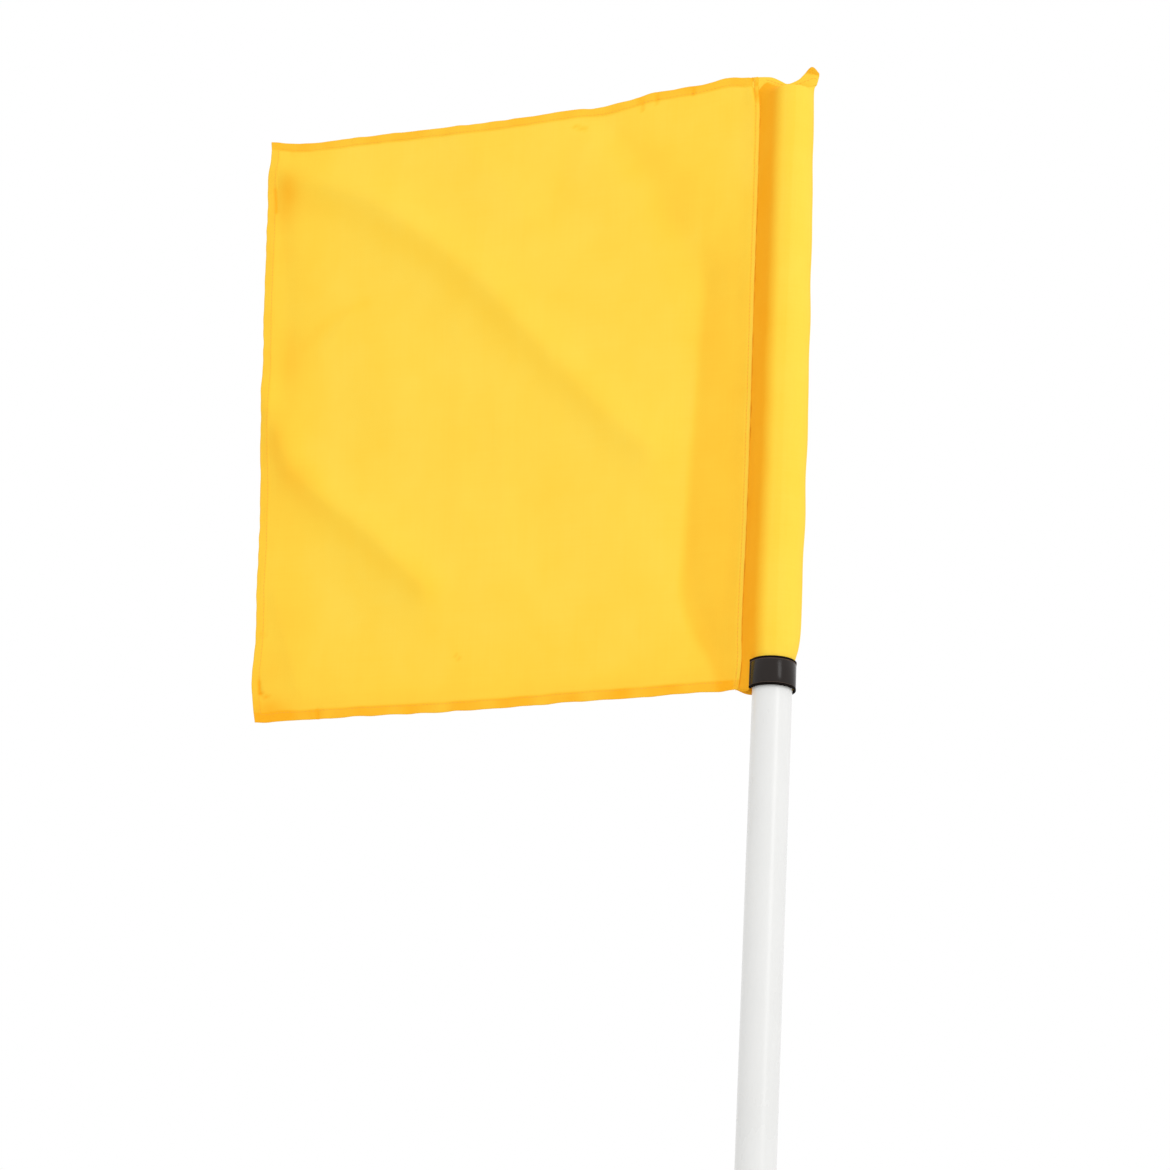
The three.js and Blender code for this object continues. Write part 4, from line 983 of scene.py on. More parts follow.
def panel_tone(out, up, side, cloth):
    """How deep the panel's colour looks on one skin: its hems and the seam's stitch row, painted
    shade in its creases, and in front painted shade where it turns away and on its folds."""
    across = np.clip(out / PANEL_WIDTH, 0, 1)
    height = up * FLAG_HEIGHT
    hems = ((TOP_TONE, FLAG_HEIGHT - height), (BOTTOM_TONE, height), (FLY_TONE, PANEL_WIDTH - out))
    step = [share * cloth.hem_width for share in HEM_TONE_SHARES]
    tone = np.max([share * (1 - smooth(far, *step)) for share, far in hems], axis=0)
    tone = tone * (1 + uneven(out, height, HEM_PATCHES))
    tone = np.maximum(tone, SEAM_ROW_TONE * bell(out - SEAM_STITCH_OUT, SEAM_ROW_REACH))
    # Painted shade, on the front skin only: where the panel turns away, near the fly edge, towards
    # the bottom, on the folds' turned sides and in single places
    if side < 0:
        width = TURNED_WIDTH * curved(up, TURNED_SHARES)
        turned_away = smooth(width - out, *TURNED_EDGE) * smooth(out, 0, TURNED_START)
        tone = tone + curved(up, TURNED_SHADES) * turned_away
        tone = tone + FLY_SIDE_SHADE * smooth(across, *FLY_SIDE_SHARES)
        for share, low, high in LOW_SHADES:
            tone = tone + share * (1 - smooth(height, low, high))
        for path, width, share in FOLD_SHADE_BANDS:
            tone = tone + share * bell(path_distance(across, up, path), width)
        for (aside, high), (wide, tall), share in SHADES:
            tone = tone + share * bell(across - aside, wide) * bell(up - high, tall)
    return np.clip(tone + CREASE_SHADE * crease_depth(across, up), 0, 1)


def panel_lines(cloth):
    """Grid lines of the panel, closer at its hems and at its seam."""
    hem = np.array(HEM_LINES_SHARE) * cloth.hem_width
    inner = PANEL_WIDTH - hem[::-1]
    lap = np.linspace(-cloth.lap, LAP_LINES_END, LAP_LINES)
    wide = np.linspace(WIDE_LINES_START, inner[0], round((inner[0] - lap[-1]) / cloth.step))
    across = np.concatenate([lap, wide[:-1], inner])
    tall = np.linspace(hem[-1], FLAG_HEIGHT - hem[-1], round(FLAG_HEIGHT / cloth.step))
    upright = np.concatenate([hem, tall[1:-1], FLAG_HEIGHT - hem[::-1]]) / FLAG_HEIGHT
    return np.meshgrid(across, upright)


def border(rows, columns):
    """Numbers of a grid's border points, once round: out along the bottom, up, and back."""
    grid = np.arange(rows * columns).reshape(rows, columns)
    return np.concatenate([grid[0, :], grid[1:, -1], grid[-1, -2::-1], grid[-2:0:-1, 0]])


def flag_panel(cloth, material):
    """The hemmed panel as two skins joined by a rounded edge."""
    out, up = panel_lines(cloth)
    rows, columns = out.shape
    front, back = (panel_place(out, up, side, cloth).reshape(-1, 3) for side in (-1, 1))
    rim = border(rows, columns)
    count = len(front)
    middle = (front[rim] + back[rim]) / 2
    half = np.linalg.norm(front[rim] - back[rim], axis=1) / 2
    rim_out, rim_up = out.ravel()[rim], up.ravel()[rim]
    outwards = np.stack([
        np.where(rim_out <= out.min(), 1, np.where(rim_out >= out.max(), -1, 0)),
        np.zeros(len(rim)),
        np.where(rim_up <= 0, -1, np.where(rim_up >= 1, 1, 0)),
    ], -1)
    bead = middle + outwards * half[:, None]
    quads = grid_quads(rows, columns)
    following = np.roll(rim, -1)
    beads = 2 * count + np.arange(len(rim))
    next_beads = np.roll(beads, -1)
    faces = np.concatenate([
        quads[:, ::-1],
        quads + count,
        np.stack([rim, following, next_beads, beads], -1),
        np.stack([beads, next_beads, following + count, rim + count], -1),
    ])
    flat = np.stack([-out, up * FLAG_HEIGHT], -1).reshape(-1, 2)
    tones = [panel_tone(out, up, side, cloth).ravel() for side in (-1, 1)]
    piece = new_mesh("flag_panel_cloth", np.concatenate([front, back, bead]), faces, material,
                     np.concatenate([flat, flat, flat[rim]]),
                     {"deep": np.concatenate([*tones, tones[1][rim]])})
    return closed_up(piece)


def half_ring(side, bulge, leave):
    """Half of the sleeve seen from above, from its tail to the side away from the panel: the
    sewn tail, a straight run to the pole, and round it."""
    root = (TAIL_ROOT_X, TAIL_HALF)
    tangent = np.array((-side * math.cos(leave), side * math.sin(leave)))
    tail = np.linspace((TAIL_TIP_X, TAIL_HALF), root, TAIL_POINTS)[:-1]
    run = np.linspace(root, tangent, RUN_POINTS)[:-1]
    angle = np.linspace(math.pi - leave, 0, ARC_POINTS)
    reach = np.where(np.cos(angle) > 0, bulge, side)
    arc = np.stack([reach * np.cos(angle), side * np.sin(angle)], -1)
    return np.concatenate([tail, run, arc])


def ring_at(height):
    """Half of the sleeve at a height over the flag's bottom, up to the cap's rim."""
    loose = (height - CLIP_HEIGHT) / (POLE_HIGH.z - FLAG_BOTTOM - CLIP_HEIGHT)
    slack = SLEEVE_SLACK * float(curved(np.array(loose), SLACK_SHARES)) if loose > 0 else 0
    side = SLEEVE_HELD_RADIUS + slack * SIDE_SLACK_SHARE
    taut = math.acos(side / -TAIL_ROOT_X)
    opened = float(smooth(np.array(loose), 0, PINCH_FADE_SHARE))
    return half_ring(side, SLEEVE_HELD_RADIUS + slack, PINCH_ANGLE + (taut - PINCH_ANGLE) * opened)


def along(points):
    """Distance along a line of points, from its first."""
    return np.concatenate([[0], np.cumsum(np.linalg.norm(np.diff(points, axis=0), axis=1))])


def sleeve_rows(cloth):
    """Half rings of the sleeve from its bottom to its top edge, as x, y and z. The last few
    close from round to flat, and the very last lie in the flat top."""
    rim = POLE_HIGH.z + CAP_ROOM - FLAG_BOTTOM
    heights = np.concatenate([
        [0],
        np.linspace(FIRST_ROW_HEIGHT, CLIP_HEIGHT, HELD_ROWS)[:-1],
        np.arange(CLIP_HEIGHT, rim - cloth.step, cloth.step),
        [rim],
    ])
    rows = []
    for height in heights:
        half = ring_at(height)
        lift = curved(half[:, 0], BOTTOM_EDGE) * (height == 0)
        rows.append(np.column_stack([half, FLAG_BOTTOM + height + lift]))
    last = rows[-1]
    share = along(last[:, :2])
    share = share / share[-1]
    flat_x = TAIL_TIP_X + (EAR_X - TAIL_TIP_X) * share
    edge, parting = (CROWN_TOP + curved(flat_x, line) for line in (TOP_EDGE, PARTING_LINE))
    parting_x = (last[:, 0] + flat_x) / 2
    for turn in np.linspace(0, 1, CLOSING_ROWS + 1)[1:]:
        x = last[:, 0] + (parting_x - last[:, 0]) * turn
        y = last[:, 1] + (TAIL_HALF - last[:, 1]) * smooth(turn, 0, 1) ** CLOSING_POWER
        z = last[:, 2] + (parting - last[:, 2]) * (1 - (1 - turn) ** 2)
        on_cap = CROWN_TOP + CAP_ROOM - CAP_DOME * (x * x + y * y) / POLE_RADIUS ** 2
        rows.append(np.column_stack([x, y, np.maximum(z, on_cap)]))
    parting = np.maximum(parting, rows[-1][:, 2])
    for turn in np.linspace(0, 1, FLAP_ROWS + 1)[1:]:
        rows.append(np.column_stack([
            parting_x + (flat_x - parting_x) * turn,
            np.full(len(share), TAIL_HALF + FLAP_SWELL * math.sin(math.pi * turn) ** SWELL_POWER),
            parting + (edge - parting) * turn,
        ]))
    rows = np.array(rows)
    up = np.clip((rows[..., 2] - FLAG_BOTTOM) / FLAG_HEIGHT, 0, 1)
    tail = 1 - smooth(rows[..., 0], TAIL_ROOT_X, TAIL_ROOT_X + TAIL_SHIFT_FADE)
    rows[..., 0] += LAP_SHIFT * curved(up, LAP_SHIFT_SHARES) * tail
    return rows


def ear_fold(places):
    """How far points of the sleeve lie over the fold line of the ear's tip, below 0 under it."""
    x, over = places[..., 0], places[..., 2] - CROWN_TOP
    start, level = EAR_FOLD_FROM
    far, near = EAR_FADES
    fold = level - EAR_FOLD_FALL_SHARE * (x - start)
    ear = smooth(x, start - far, start - near)
    return (over - fold) * ear - EAR_OFF * (1 - ear)


def leaned(places):
    """The sleeve's points with its flat top leaning forward, most at the ear's folded tip."""
    rise = np.clip(places[..., 2] - CROWN_TOP - FLAP_LEAN_FROM, 0, None)
    rise = rise * smooth(places[..., 0], *FLAP_LEAN_FADE)
    lean = FLAP_LEAN_SHARE * rise + EAR_FOLD_LEAN_SHARE * np.clip(ear_fold(places), 0, None)
    return places - lean[..., None] * np.array((0, 1, LEAN_DROP_SHARE))


def sleeve_shade_tone(places):
    """Painted shade on the sleeve: in the strip beside the seam, in its flat top, and on the
    ear's folded tip and its fold line.
    """
    x, over = places[..., 0], places[..., 2] - CROWN_TOP
    up = np.clip((places[..., 2] - FLAG_BOTTOM) / FLAG_HEIGHT, 0, 1)
    strip = 1 - smooth(x - STRIP_SHIFT * curved(up, STRIP_SHIFT_SHARES), *STRIP_SHADE_FADE)
    flat = smooth(over - curved(x, FLAP_SHADE_LINE), *FLAP_TONE_FADE)
    fold = ear_fold(places)
    ear = EAR_SHADE * smooth(fold, *EAR_TONE_FADE) + FOLD_LINE_SHADE * bell(fold, FOLD_LINE_REACH)
    return np.maximum(strip * (1 - flat), np.maximum(FLAP_SHADE * flat, ear))


def flag_sleeve(cloth, material):
    """The sleeve as one skin round the pole, sewn flat at the seam and at its top."""
    half = sleeve_rows(cloth)
    front = half * np.array((1, -1, 1))
    ring = np.concatenate([front, half[:, ::-1]], axis=1)
    run = np.array([along(row[:, :2]) for row in half])
    unrolled = np.concatenate([run, 2 * run[:, -1:] - run[:, ::-1]], axis=1)
    x, height = ring[..., 0], ring[..., 2] - FLAG_BOTTOM
    radius = np.hypot(x, ring[..., 1])
    rising, falling = BULGE_FADES
    loose = smooth(height, *rising) * (1 - smooth(height, *falling))
    bulge = loose * smooth(x, TAIL_ROOT_X, FREE_X) * uneven(unrolled, height, SLEEVE_BULGE)
    pucker = bell(x - TAIL_ROOT_X, PUCKER_REACH) * uneven(unrolled, height, SLEEVE_PUCKER)
    swell = 1 + (bulge + pucker * smooth(height, *PUCKER_FADE)) / np.maximum(radius, MM)
    places = leaned(ring * np.stack([swell, swell, np.ones_like(swell)], -1))
    rows, columns = ring.shape[:2]
    last = np.arange(rows - 1) * columns + columns - 1
    following = last + columns
    faces = np.concatenate([
        grid_quads(rows, columns),
        np.stack([last, last - columns + 1, following - columns + 1, following], -1),
    ])
    piece = new_mesh("flag_sleeve_cloth", places, faces, material,
                     np.stack([unrolled, height], -1), {"deep": sleeve_shade_tone(ring)})
    closed_up(piece)
    wall = piece.modifiers.new("wall", "SOLIDIFY")
    wall.thickness = cloth.cloth
    wall.offset = -1
    return baked(piece)


def hem_rows(cloth):
    """The line of stitches along the panel's three hems, as distances from the seam and shares
    of the height."""
    inset = HEM_STITCH_SHARE * cloth.hem_width
    across = np.linspace(HEM_STITCH_START, PANEL_WIDTH - inset, HEM_POINTS[0])
    up = np.linspace(inset, FLAG_HEIGHT - inset, HEM_POINTS[1]) / FLAG_HEIGHT
    out_line = np.concatenate([across, np.full(len(up), across[-1]), across[::-1]])
    up_line = np.concatenate([np.full(len(across), up[0]), up, np.full(len(across), up[-1])])
    return out_line, up_line


def stitched_line(name, lines, tree, cloth, material):
    """A piece of stitches along several separate lines."""
    points = np.concatenate(lines)
    breaks = set(np.cumsum([len(line) for line in lines])[:-1].tolist())
    piece = path_piece(name, points, breaks)
    return grown(piece, tree, {
        "Pitch": cloth.stitch + cloth.gap, "Length": cloth.stitch, "Thread": cloth.thread,
        "Material": material,
    })


def clip_section(inner, outer, bottom, top, plastics):
    """The clip's wall cut across, as radius and height: rounded corners, a bead along each rim
    and a fine groove inside each bead."""
    edge = min(plastics.clip_edge, (outer - inner) * ROUNDED_SHARE)
    depth = plastics.bead * min(1, (outer - inner) / plastics.clip_wall)
    bead = plastics.bead_width
    groove = [(bead + far, depth * share) for far, share in CLIP_GROOVE]
    points = []

    def corner(radius, height, start):
        for step in range(CORNER_STEPS + 1):
            angle = math.radians(start + 90 * step / CORNER_STEPS)
            points.append((radius + edge * math.cos(angle), height + edge * math.sin(angle)))

    corner(outer - edge, bottom + edge, -90)
    points.extend((outer - sunk, bottom + far) for far, sunk in groove)
    points.extend((outer - sunk, top - far) for far, sunk in reversed(groove))
    corner(outer - edge, top - edge, 0)
    corner(inner + edge, top - edge, 90)
    corner(inner + edge, bottom + edge, 180)
    return points


class CORNERFLAG_OT_stage(bpy.types.Operator):
    """Sets the floor, the light, the white background and the photograph's camera"""
    bl_idname = "corner_flag.stage"
    bl_label = "Stage"

    def execute(self, context):
        stage = context.scene.flag_stage
        self.floor(stage)
        self.world(context.scene, stage)
        self.key_light(stage)
        self.camera(context.scene, stage)
        context.scene.view_settings.view_transform = "Standard"
        return {"FINISHED"}

    def floor(self, stage):
        level = CAD_BOX[0][2]
        turns = [TURN * i / FLOOR_SIDES for i in range(FLOOR_SIDES)]
        ring = [(FLOOR_RADIUS * math.cos(turn), FLOOR_RADIUS * math.sin(turn), level)
                for turn in turns]
        new_mesh("studio_floor", ring, [range(FLOOR_SIDES)], painted_floor(stage))

    def world(self, scene, stage):
        """Soft light from all round, a little weaker from the left and behind, before white."""
        scene.world = bpy.data.worlds.new("studio")
        scene.world.use_nodes = True
        tree = scene.world.node_tree
        tree.nodes.clear()
        facing = node(tree, "ShaderNodeTexCoord").outputs["Generated"]
        towards = Vector(BRIGHT_SIDE).normalized()
        side = node(tree, "ShaderNodeVectorMath", {0: facing, 1: towards},
                    operation="DOT_PRODUCT").outputs["Value"]
        weakest, strongest = (stage.ambient * share for share in AMBIENT_SHARES)
        level = node(tree, "ShaderNodeMapRange", {
            "Value": side, "From Min": -1.0, "To Min": weakest, "To Max": strongest,
        })
        soft = node(tree, "ShaderNodeBackground", {"Color": (1, 1, 1, 1), "Strength": level})
        white = node(tree, "ShaderNodeBackground", {"Color": (1, 1, 1, 1), "Strength": 1.0})
        path = node(tree, "ShaderNodeLightPath").outputs
        seen = path["Is Camera Ray"]
        for ray in ("Is Glossy Ray", "Is Transmission Ray"):
            seen = node(tree, "ShaderNodeMath", {0: seen, 1: path[ray]}, operation="MAXIMUM")
        both = node(tree, "ShaderNodeMixShader", {0: seen, 1: soft, 2: white})
        node(tree, "ShaderNodeOutputWorld", {"Surface": both})

    def key_light(self, stage):
        data = bpy.data.lights.new("key", "AREA")
        data.shape = "RECTANGLE"
        data.size, data.size_y = KEY_SIZE
        data.energy = stage.key
        light = placed("key", data)
        light.location = Vector(KEY_PLACE)
        target = Vector((0, 0, (FLAG_BOTTOM + CROWN_TOP) / 2))
        light.rotation_euler = (target - light.location).to_track_quat("-Z", "Y").to_euler()

    def camera(self, scene, stage):
        data = bpy.data.cameras.new("camera")
        data.lens = stage.lens
        data.sensor_width = SENSOR_WIDTH
        data.clip_end = VIEW_REACH
        camera = placed("camera", data)
        camera.matrix_world = (
            Matrix.Translation(CAMERA_PLACE)
            @ Matrix.Rotation(CAMERA_HEADING, 4, "Z")
            @ Matrix.Rotation(math.pi / 2 + CAMERA_PITCH, 4, "X")
            @ Matrix.Rotation(CAMERA_ROLL, 4, "Z")
        )
        scene.camera = camera


class CORNERFLAG_OT_flag(bpy.types.Operator):
    """Sews the panel and the sleeve, with their stitches"""
    bl_idname = "corner_flag.flag"
    bl_label = "Flag"

    def execute(self, context):
        cloth = context.scene.flag_cloth
        material = woven_polyester(cloth)
        thread = polyester_thread(cloth)
        tree = stitch_tree()
        panel = flag_panel(cloth, material)
        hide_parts("flag_panel")
        sleeve = seated(flag_sleeve(cloth, material), "sleeve", "flag_cloth", "flag_sleeve")
        hem = self.hem_stitches(cloth, tree, thread)
        seam = self.seam_stitches(cloth, tree, thread)
        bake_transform(panel)
        return {"FINISHED"}

    def hem_stitches(self, cloth, tree, thread):
        out, up = hem_rows(cloth)
        lines = [panel_place(out, up, side, cloth) for side in (-1, 1)]
        piece = stitched_line("hem_stitches", lines, tree, cloth, thread)
        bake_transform(piece)
        return piece

    def seam_stitches(self, cloth, tree, thread):
        up = np.linspace(*SEAM_STITCH_SHARES, SEAM_POINTS)
        level = np.ones(len(up))
        front = panel_place(SEAM_STITCH_OUT * level, up, -1, cloth)
        back = np.column_stack([SEAM_X * level, TAIL_HALF * level, FLAG_BOTTOM + up * FLAG_HEIGHT])
        closing = sleeve_rows(cloth)[CLOSING_ROW - FLAP_ROWS]
        x = closing[:, 0]
        closing = closing[(x > SEAM_X + CLOSING_INSETS[0]) & (x < EAR_X - CLOSING_INSETS[1])]
        mirrored = closing * np.array((1, -1, 1))
        lines = [front, back, leaned(closing), leaned(mirrored)]
        piece = stitched_line("seam_stitches", lines, tree, cloth, thread)
        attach(piece, "sleeve")
        return piece


class CORNERFLAG_OT_clip(bpy.types.Operator):
    """Moulds the C-shaped clip with its rounded lips"""
    bl_idname = "corner_flag.clip"
    bl_label = "Clip"

    def execute(self, context):
        plastics = context.scene.flag_plastic
        inner = CLIP_RADIUS - plastics.clip_wall
        lip_reach = plastics.lip / inner
        end = math.pi - CLIP_MOUTH
        angles = np.concatenate([
            np.linspace(0, end - lip_reach, WALL_STATIONS)[:-1],
            end + lip_reach * np.sin(np.linspace(-math.pi / 2, math.pi / 2, LIP_STATIONS)),
        ])
        half = [(angle, *self.wall((angle - end) * inner, inner, plastics.lip))
                for angle in angles]
        rings = []
        for angle, low, high in [(-a, i, o) for a, i, o in half[:0:-1]] + half:
            section = clip_section(low, high, CLIP_LOW.z, CLIP_HIGH.z, plastics)
            rings.append([(r * math.cos(angle), r * math.sin(angle), z) for r, z in section])
        rings = np.array(rings)
        rows, columns = rings.shape[:2]
        closed = np.concatenate([rings, rings[:, :1]], axis=1)
        faces = [list(face) for face in grid_quads(rows, columns + 1)]
        caps = [list(range(columns)), [(rows - 1) * (columns + 1) + i for i in range(columns)]]
        bead = plastics.bead_width
        # The rim mark, painted darker as shade in the moulded nylon
        rim = 1 - smooth(self.inset(closed[..., 2]), bead, bead + RIM_FADE)
        piece = new_mesh("clip_moulding", closed, faces + caps, moulded_black(plastics),
                         marks={"rim": rim})
        crisp(closed_up(piece), MOULDED_DEGREES)
        for name, share in RIM_PAINTED_TONES.items():
            piece.data.materials.append(painted_rim_nylon(name, plastics, share))
        # Rim faces get the painted shade, and a thin band just inside them the painted highlight
        # line
        for face in piece.data.polygons:
            inside = self.inset(face.center.z) - bead
            face.material_index = 1 if inside < 0 else 2 if inside < HIGHLIGHT_LINE_WIDTH else 0
        seated(piece, "clip", "black_plastic", "retaining_clip")
        return {"FINISHED"}

    def inset(self, height):
        """How far a height lies inside the clip's nearer rim."""
        return np.minimum(height - CLIP_LOW.z, CLIP_HIGH.z - height)

    def wall(self, off, inner, lip):
        """Inner and outer radius of the clip's wall, swelling and closing at the lip: off is the
        distance along it from the lip's middle."""
        room = max(lip ** 2 - off ** 2, 0) ** 0.5
        centre = inner + lip
        if off < -lip:
            return inner, CLIP_RADIUS
        if off < 0:
            return inner, max(CLIP_RADIUS, centre + room)
        return centre - room - LIP_OPENING, centre + room + LIP_OPENING


def filleted(profile, radius, steps=4):
    """Rounds every corner of a closed outline of (radius, height) points."""
    rounded = []
    count = len(profile)
    for i in range(count):
        before, corner, after = (Vector(profile[(i + k) % count]) for k in (-1, 0, 1))
        to_before, to_after = before - corner, after - corner
        reach = min(radius, ROUNDED_SHARE * min(to_before.length, to_after.length))
        start = corner + to_before.normalized() * reach
        finish = corner + to_after.normalized() * reach
        for step in range(steps + 1):
            t = step / steps
            rounded.append(start * (1 - t) ** 2 + corner * 2 * t * (1 - t) + finish * t ** 2)
    return rounded


def turned(name, outline, material, sides=128):
    """A ring turned round the upright axis from a closed outline."""
    radii, heights = np.array([tuple(point) for point in outline]).T
    angles = np.linspace(0, TURN, sides + 1)[:, None]
    points = np.stack([radii * np.cos(angles), radii * np.sin(angles), heights + 0 * angles], -1)
    closed = np.concatenate([points, points[:, :1]], axis=1)
    piece = new_mesh(name, closed, grid_quads(sides + 1, len(outline) + 1), material)
    return crisp(closed_up(piece))


def machined(name, material, edge):
    """A copy of a node's solid with its faces whole again and its sharp edges rounded."""
    mesh = frame["nodes"][name].data.copy()
    shell = bmesh.new()
    shell.from_mesh(mesh)
    bmesh.ops.remove_doubles(shell, verts=shell.verts, dist=SAME_DISTANCE)
    bmesh.ops.dissolve_limit(shell, angle_limit=FLAT_ANGLE, verts=shell.verts, edges=shell.edges)
    shell.to_mesh(mesh)
    shell.free()
    mesh.materials.clear()
    mesh.materials.append(material)
    piece = placed(name + "_finish", mesh)
    rounding = piece.modifiers.new("edges", "BEVEL")
    rounding.width = edge
    rounding.segments = 2
    rounding.limit_method = "ANGLE"
    rounding.angle_limit = math.radians(EDGE_DEGREES)
    rounding.use_clamp_overlap = True
    return crisp(baked(piece), EDGE_DEGREES)


class CORNERFLAG_OT_pole(bpy.types.Operator):
    """Draws the white tube and moulds its cap and plug"""
    bl_idname = "corner_flag.pole"
    bl_label = "Pole"

    def execute(self, context):
        plastics = context.scene.flag_plastic
        edge = plastics.pole_edge
        bore = POLE_RADIUS - plastics.pole_wall
        low, high = POLE_LOW.z, POLE_HIGH.z
        outline = filleted([(bore, low), (POLE_RADIUS, low), (POLE_RADIUS, high), (bore, high)],
                           edge)
        tube = turned("pole_tube_drawn", outline, extruded_pvc(plastics))
        seated(tube, "pole", "white_plastic", "pole_tube")
        cap = machined("pole_top_cap", moulded_white(plastics), edge)
        seated(cap, "pole", "white_plastic", "pole_top_cap")
        plug = machined("pole_plug", moulded_black(plastics), edge)
        seated(plug, "pole", "black_plastic", "pole_plug")
        return {"FINISHED"}


class CORNERFLAG_OT_hardware(bpy.types.Operator):
    """Finishes the spike, the disc, the studs and their fasteners in zinc and steel"""
    bl_idname = "corner_flag.hardware"
    bl_label = "Spike and fasteners"

    def execute(self, context):
        steel = context.scene.flag_steel
        coarse = galvanised_steel(steel)
        bright = plated_steel("bright zinc-plated steel", dimmed(steel.zinc, ZINC_SHINE),
                              roughness=0.3)
        finishes = {
            "spike_rod": coarse, "foot_disc": coarse, "lower_spring_stud": coarse,
            "upper_spring_stud": coarse, "foot_washer": bright, "foot_nut": bright,
            "lower_cross_pin": bright, "upper_cross_pin": bright, "plug_washer": bright,
            "plug_bolt": bright,
        }
        for name, material in finishes.items():
            body = next(body for body, nodes in BODIES.items() if name in nodes)
            seated(machined(name, material, steel.edge), body, "galvanised_steel", name)
        return {"FINISHED"}


class CORNERFLAG_OT_screws(bpy.types.Operator):
    """Sets the cross-recessed screws round the foot of the pole"""
    bl_idname = "corner_flag.screws"
    bl_label = "Screws"

    def execute(self, context):
        steel = context.scene.flag_steel
        tone = dimmed(steel.zinc, ZINC_SHINE)
        material = plated_steel("bright zinc-plated screw steel", tone, roughness=0.26)
        piece = grown(self.screw(), round_tree(), {"Count": steel.screws, "Material": material})
        crisp(piece, SCREW_DEGREES)
        nodes = [f"plug_screw_{number}" for number in range(1, 4)]
        seated(piece, "pole", "galvanised_steel", *nodes)
        return {"FINISHED"}

    def screw(self):
        """One pan-head screw along +X, its head a fine disc of points with a cross sunk in."""
        head = (SCREW_HIGH.y - SCREW_LOW.y) / 2
        tip, crown = SCREW_LOW.x, SCREW_HIGH.x
        seat = crown - SCREW_DOME
        centre = (SCREW_LOW.z + SCREW_HIGH.z) / 2
        radii = [RING_GAP * (i + 1) for i in range(HEAD_RINGS)] + [LAST_RING_SHARE * head, head]
        rings = [(radius, crown - SCREW_DOME * (1 - (1 - (radius / head) ** 2) ** 0.5))
                 for radius in radii]
        rings += [(head, seat), (SHANK_RADIUS, seat), (SHANK_RADIUS, tip + SCREW_POINT),
                  (SHANK_RADIUS / 2, tip)]
        angles = np.linspace(0, TURN, SCREW_SIDES + 1)[:-1]
        points = []
        for radius, reach in rings:
            y, z = radius * np.cos(angles), radius * np.sin(angles)
            narrow = np.minimum(np.abs(y), np.abs(z))
            cut = smooth(-narrow, -1.4 * CROSS_SLOT, -0.6 * CROSS_SLOT)
            cut = cut * smooth(-radius, -CROSS_ARM, -0.7 * CROSS_ARM)
            points.append(np.stack([reach - CROSS_DEPTH * cut * (reach > seat), y, centre + z], -1))
        first = np.arange((len(rings) - 1) * SCREW_SIDES)
        following = np.where((first + 1) % SCREW_SIDES, first + 1, first + 1 - SCREW_SIDES)
        quads = np.stack([first, following, following + SCREW_SIDES, first + SCREW_SIDES], -1)
        ends = [list(range(start, start + SCREW_SIDES)) for start in (0, len(first))]
        return closed_up(new_mesh("plug_screws", points, quads.tolist() + ends, None))


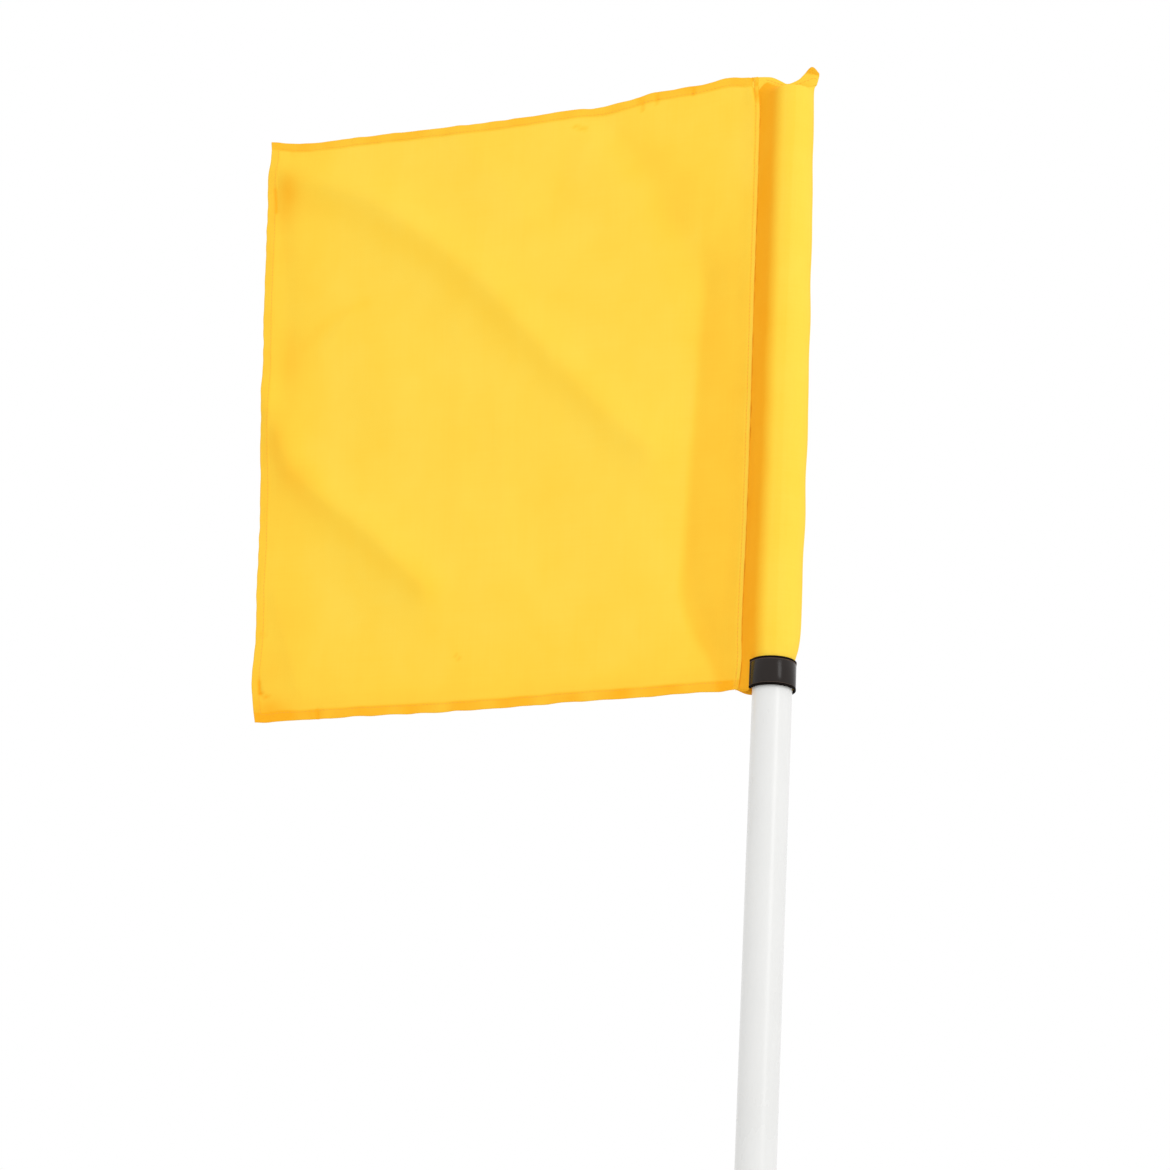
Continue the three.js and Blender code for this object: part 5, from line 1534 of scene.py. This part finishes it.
class CORNERFLAG_OT_spring(bpy.types.Operator):
    """Winds the close-wound spring as one wire in two halves"""
    bl_idname = "corner_flag.spring"
    bl_label = "Spring"

    def execute(self, context):
        steel = context.scene.flag_steel
        material = plated_steel("oiled spring steel", steel.spring, roughness=0.32)
        tree = wire_tree()
        points = self.wire_line(steel)
        middle = len(points) // 2
        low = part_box("lower_spring_stud")[1].z - SPIGOT
        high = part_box("upper_spring_stud")[0].z + SPIGOT
        centre = (low + high) / 2
        halves = {
            "spring_lower_half": (points[:middle + 1], "ground_spike", "spring", low, centre),
            "spring_upper_half": (points[middle:], "spring", "pole", centre, high),
        }
        for name, (line, below, above, start, end) in halves.items():
            piece = grown(path_piece(name, line), tree, {
                "Radius": steel.wire / 2, "Sides": WIRE_SIDES, "Material": material,
            })
            crisp(piece, MOULDED_DEGREES)
            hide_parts("coil_spring")
            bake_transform(piece)
        return {"FINISHED"}

    def wire_line(self, steel):
        """The wire's centre line: a flat end coil, a climb over the cross pin, working coils,
        and the same again at the other end."""
        coil = SPRING_HIGH.x - steel.wire / 2
        turns = np.arange(steel.turns * POINTS_PER_TURN + 1) / POINTS_PER_TURN
        low = SPRING_LOW.z + steel.wire / 2
        rise = SPRING_HIGH.z - SPRING_LOW.z - steel.wire
        pitch = (rise / 2 - PIN_CLIMB) / (steel.turns / 2 - CLIMB_TURNS[1])
        near = np.minimum(turns, steel.turns - turns)
        working = pitch * np.clip(near - CLIMB_TURNS[1], 0, None)
        gained = PIN_CLIMB * smooth(near, *CLIMB_TURNS) + working
        height = np.where(turns <= steel.turns / 2, low + gained, low + rise - gained)
        angle = TURN * turns
        return np.column_stack([coil * np.cos(angle), coil * np.sin(angle), height])


class CORNERFLAG_PT_pieces(bpy.types.Panel):
    """Lists the pieces of the corner flag and their settings"""
    bl_idname = "CORNERFLAG_PT_pieces"
    bl_label = "Corner Flag"
    bl_space_type = "VIEW_3D"
    bl_region_type = "UI"
    bl_category = "Corner Flag"

    def draw(self, context):
        for operator in OPERATORS:
            self.layout.operator(operator.bl_idname)
        for group, kind in GROUPS.items():
            box = self.layout.box()
            settings = getattr(context.scene, group)
            for name in kind.__annotations__:
                box.prop(settings, name)


OPERATORS = (
    CORNERFLAG_OT_stage,
    CORNERFLAG_OT_flag,
    CORNERFLAG_OT_clip,
    CORNERFLAG_OT_pole,
    CORNERFLAG_OT_hardware,
    CORNERFLAG_OT_screws,
    CORNERFLAG_OT_spring,
)
CLASSES = (*GROUPS.values(), *OPERATORS, CORNERFLAG_PT_pieces)


def register():
    for kind in CLASSES:
        bpy.utils.register_class(kind)
    for name, kind in GROUPS.items():
        setattr(bpy.types.Scene, name, PointerProperty(type=kind))


def unregister():
    for name in GROUPS:
        delattr(bpy.types.Scene, name)
    for kind in reversed(CLASSES):
        bpy.utils.unregister_class(kind)


def main():
    register()
    for operator in OPERATORS:
        family, action = operator.bl_idname.split(".")
        getattr(getattr(bpy.ops, family), action)()


if __name__ == "__main__":
    main()
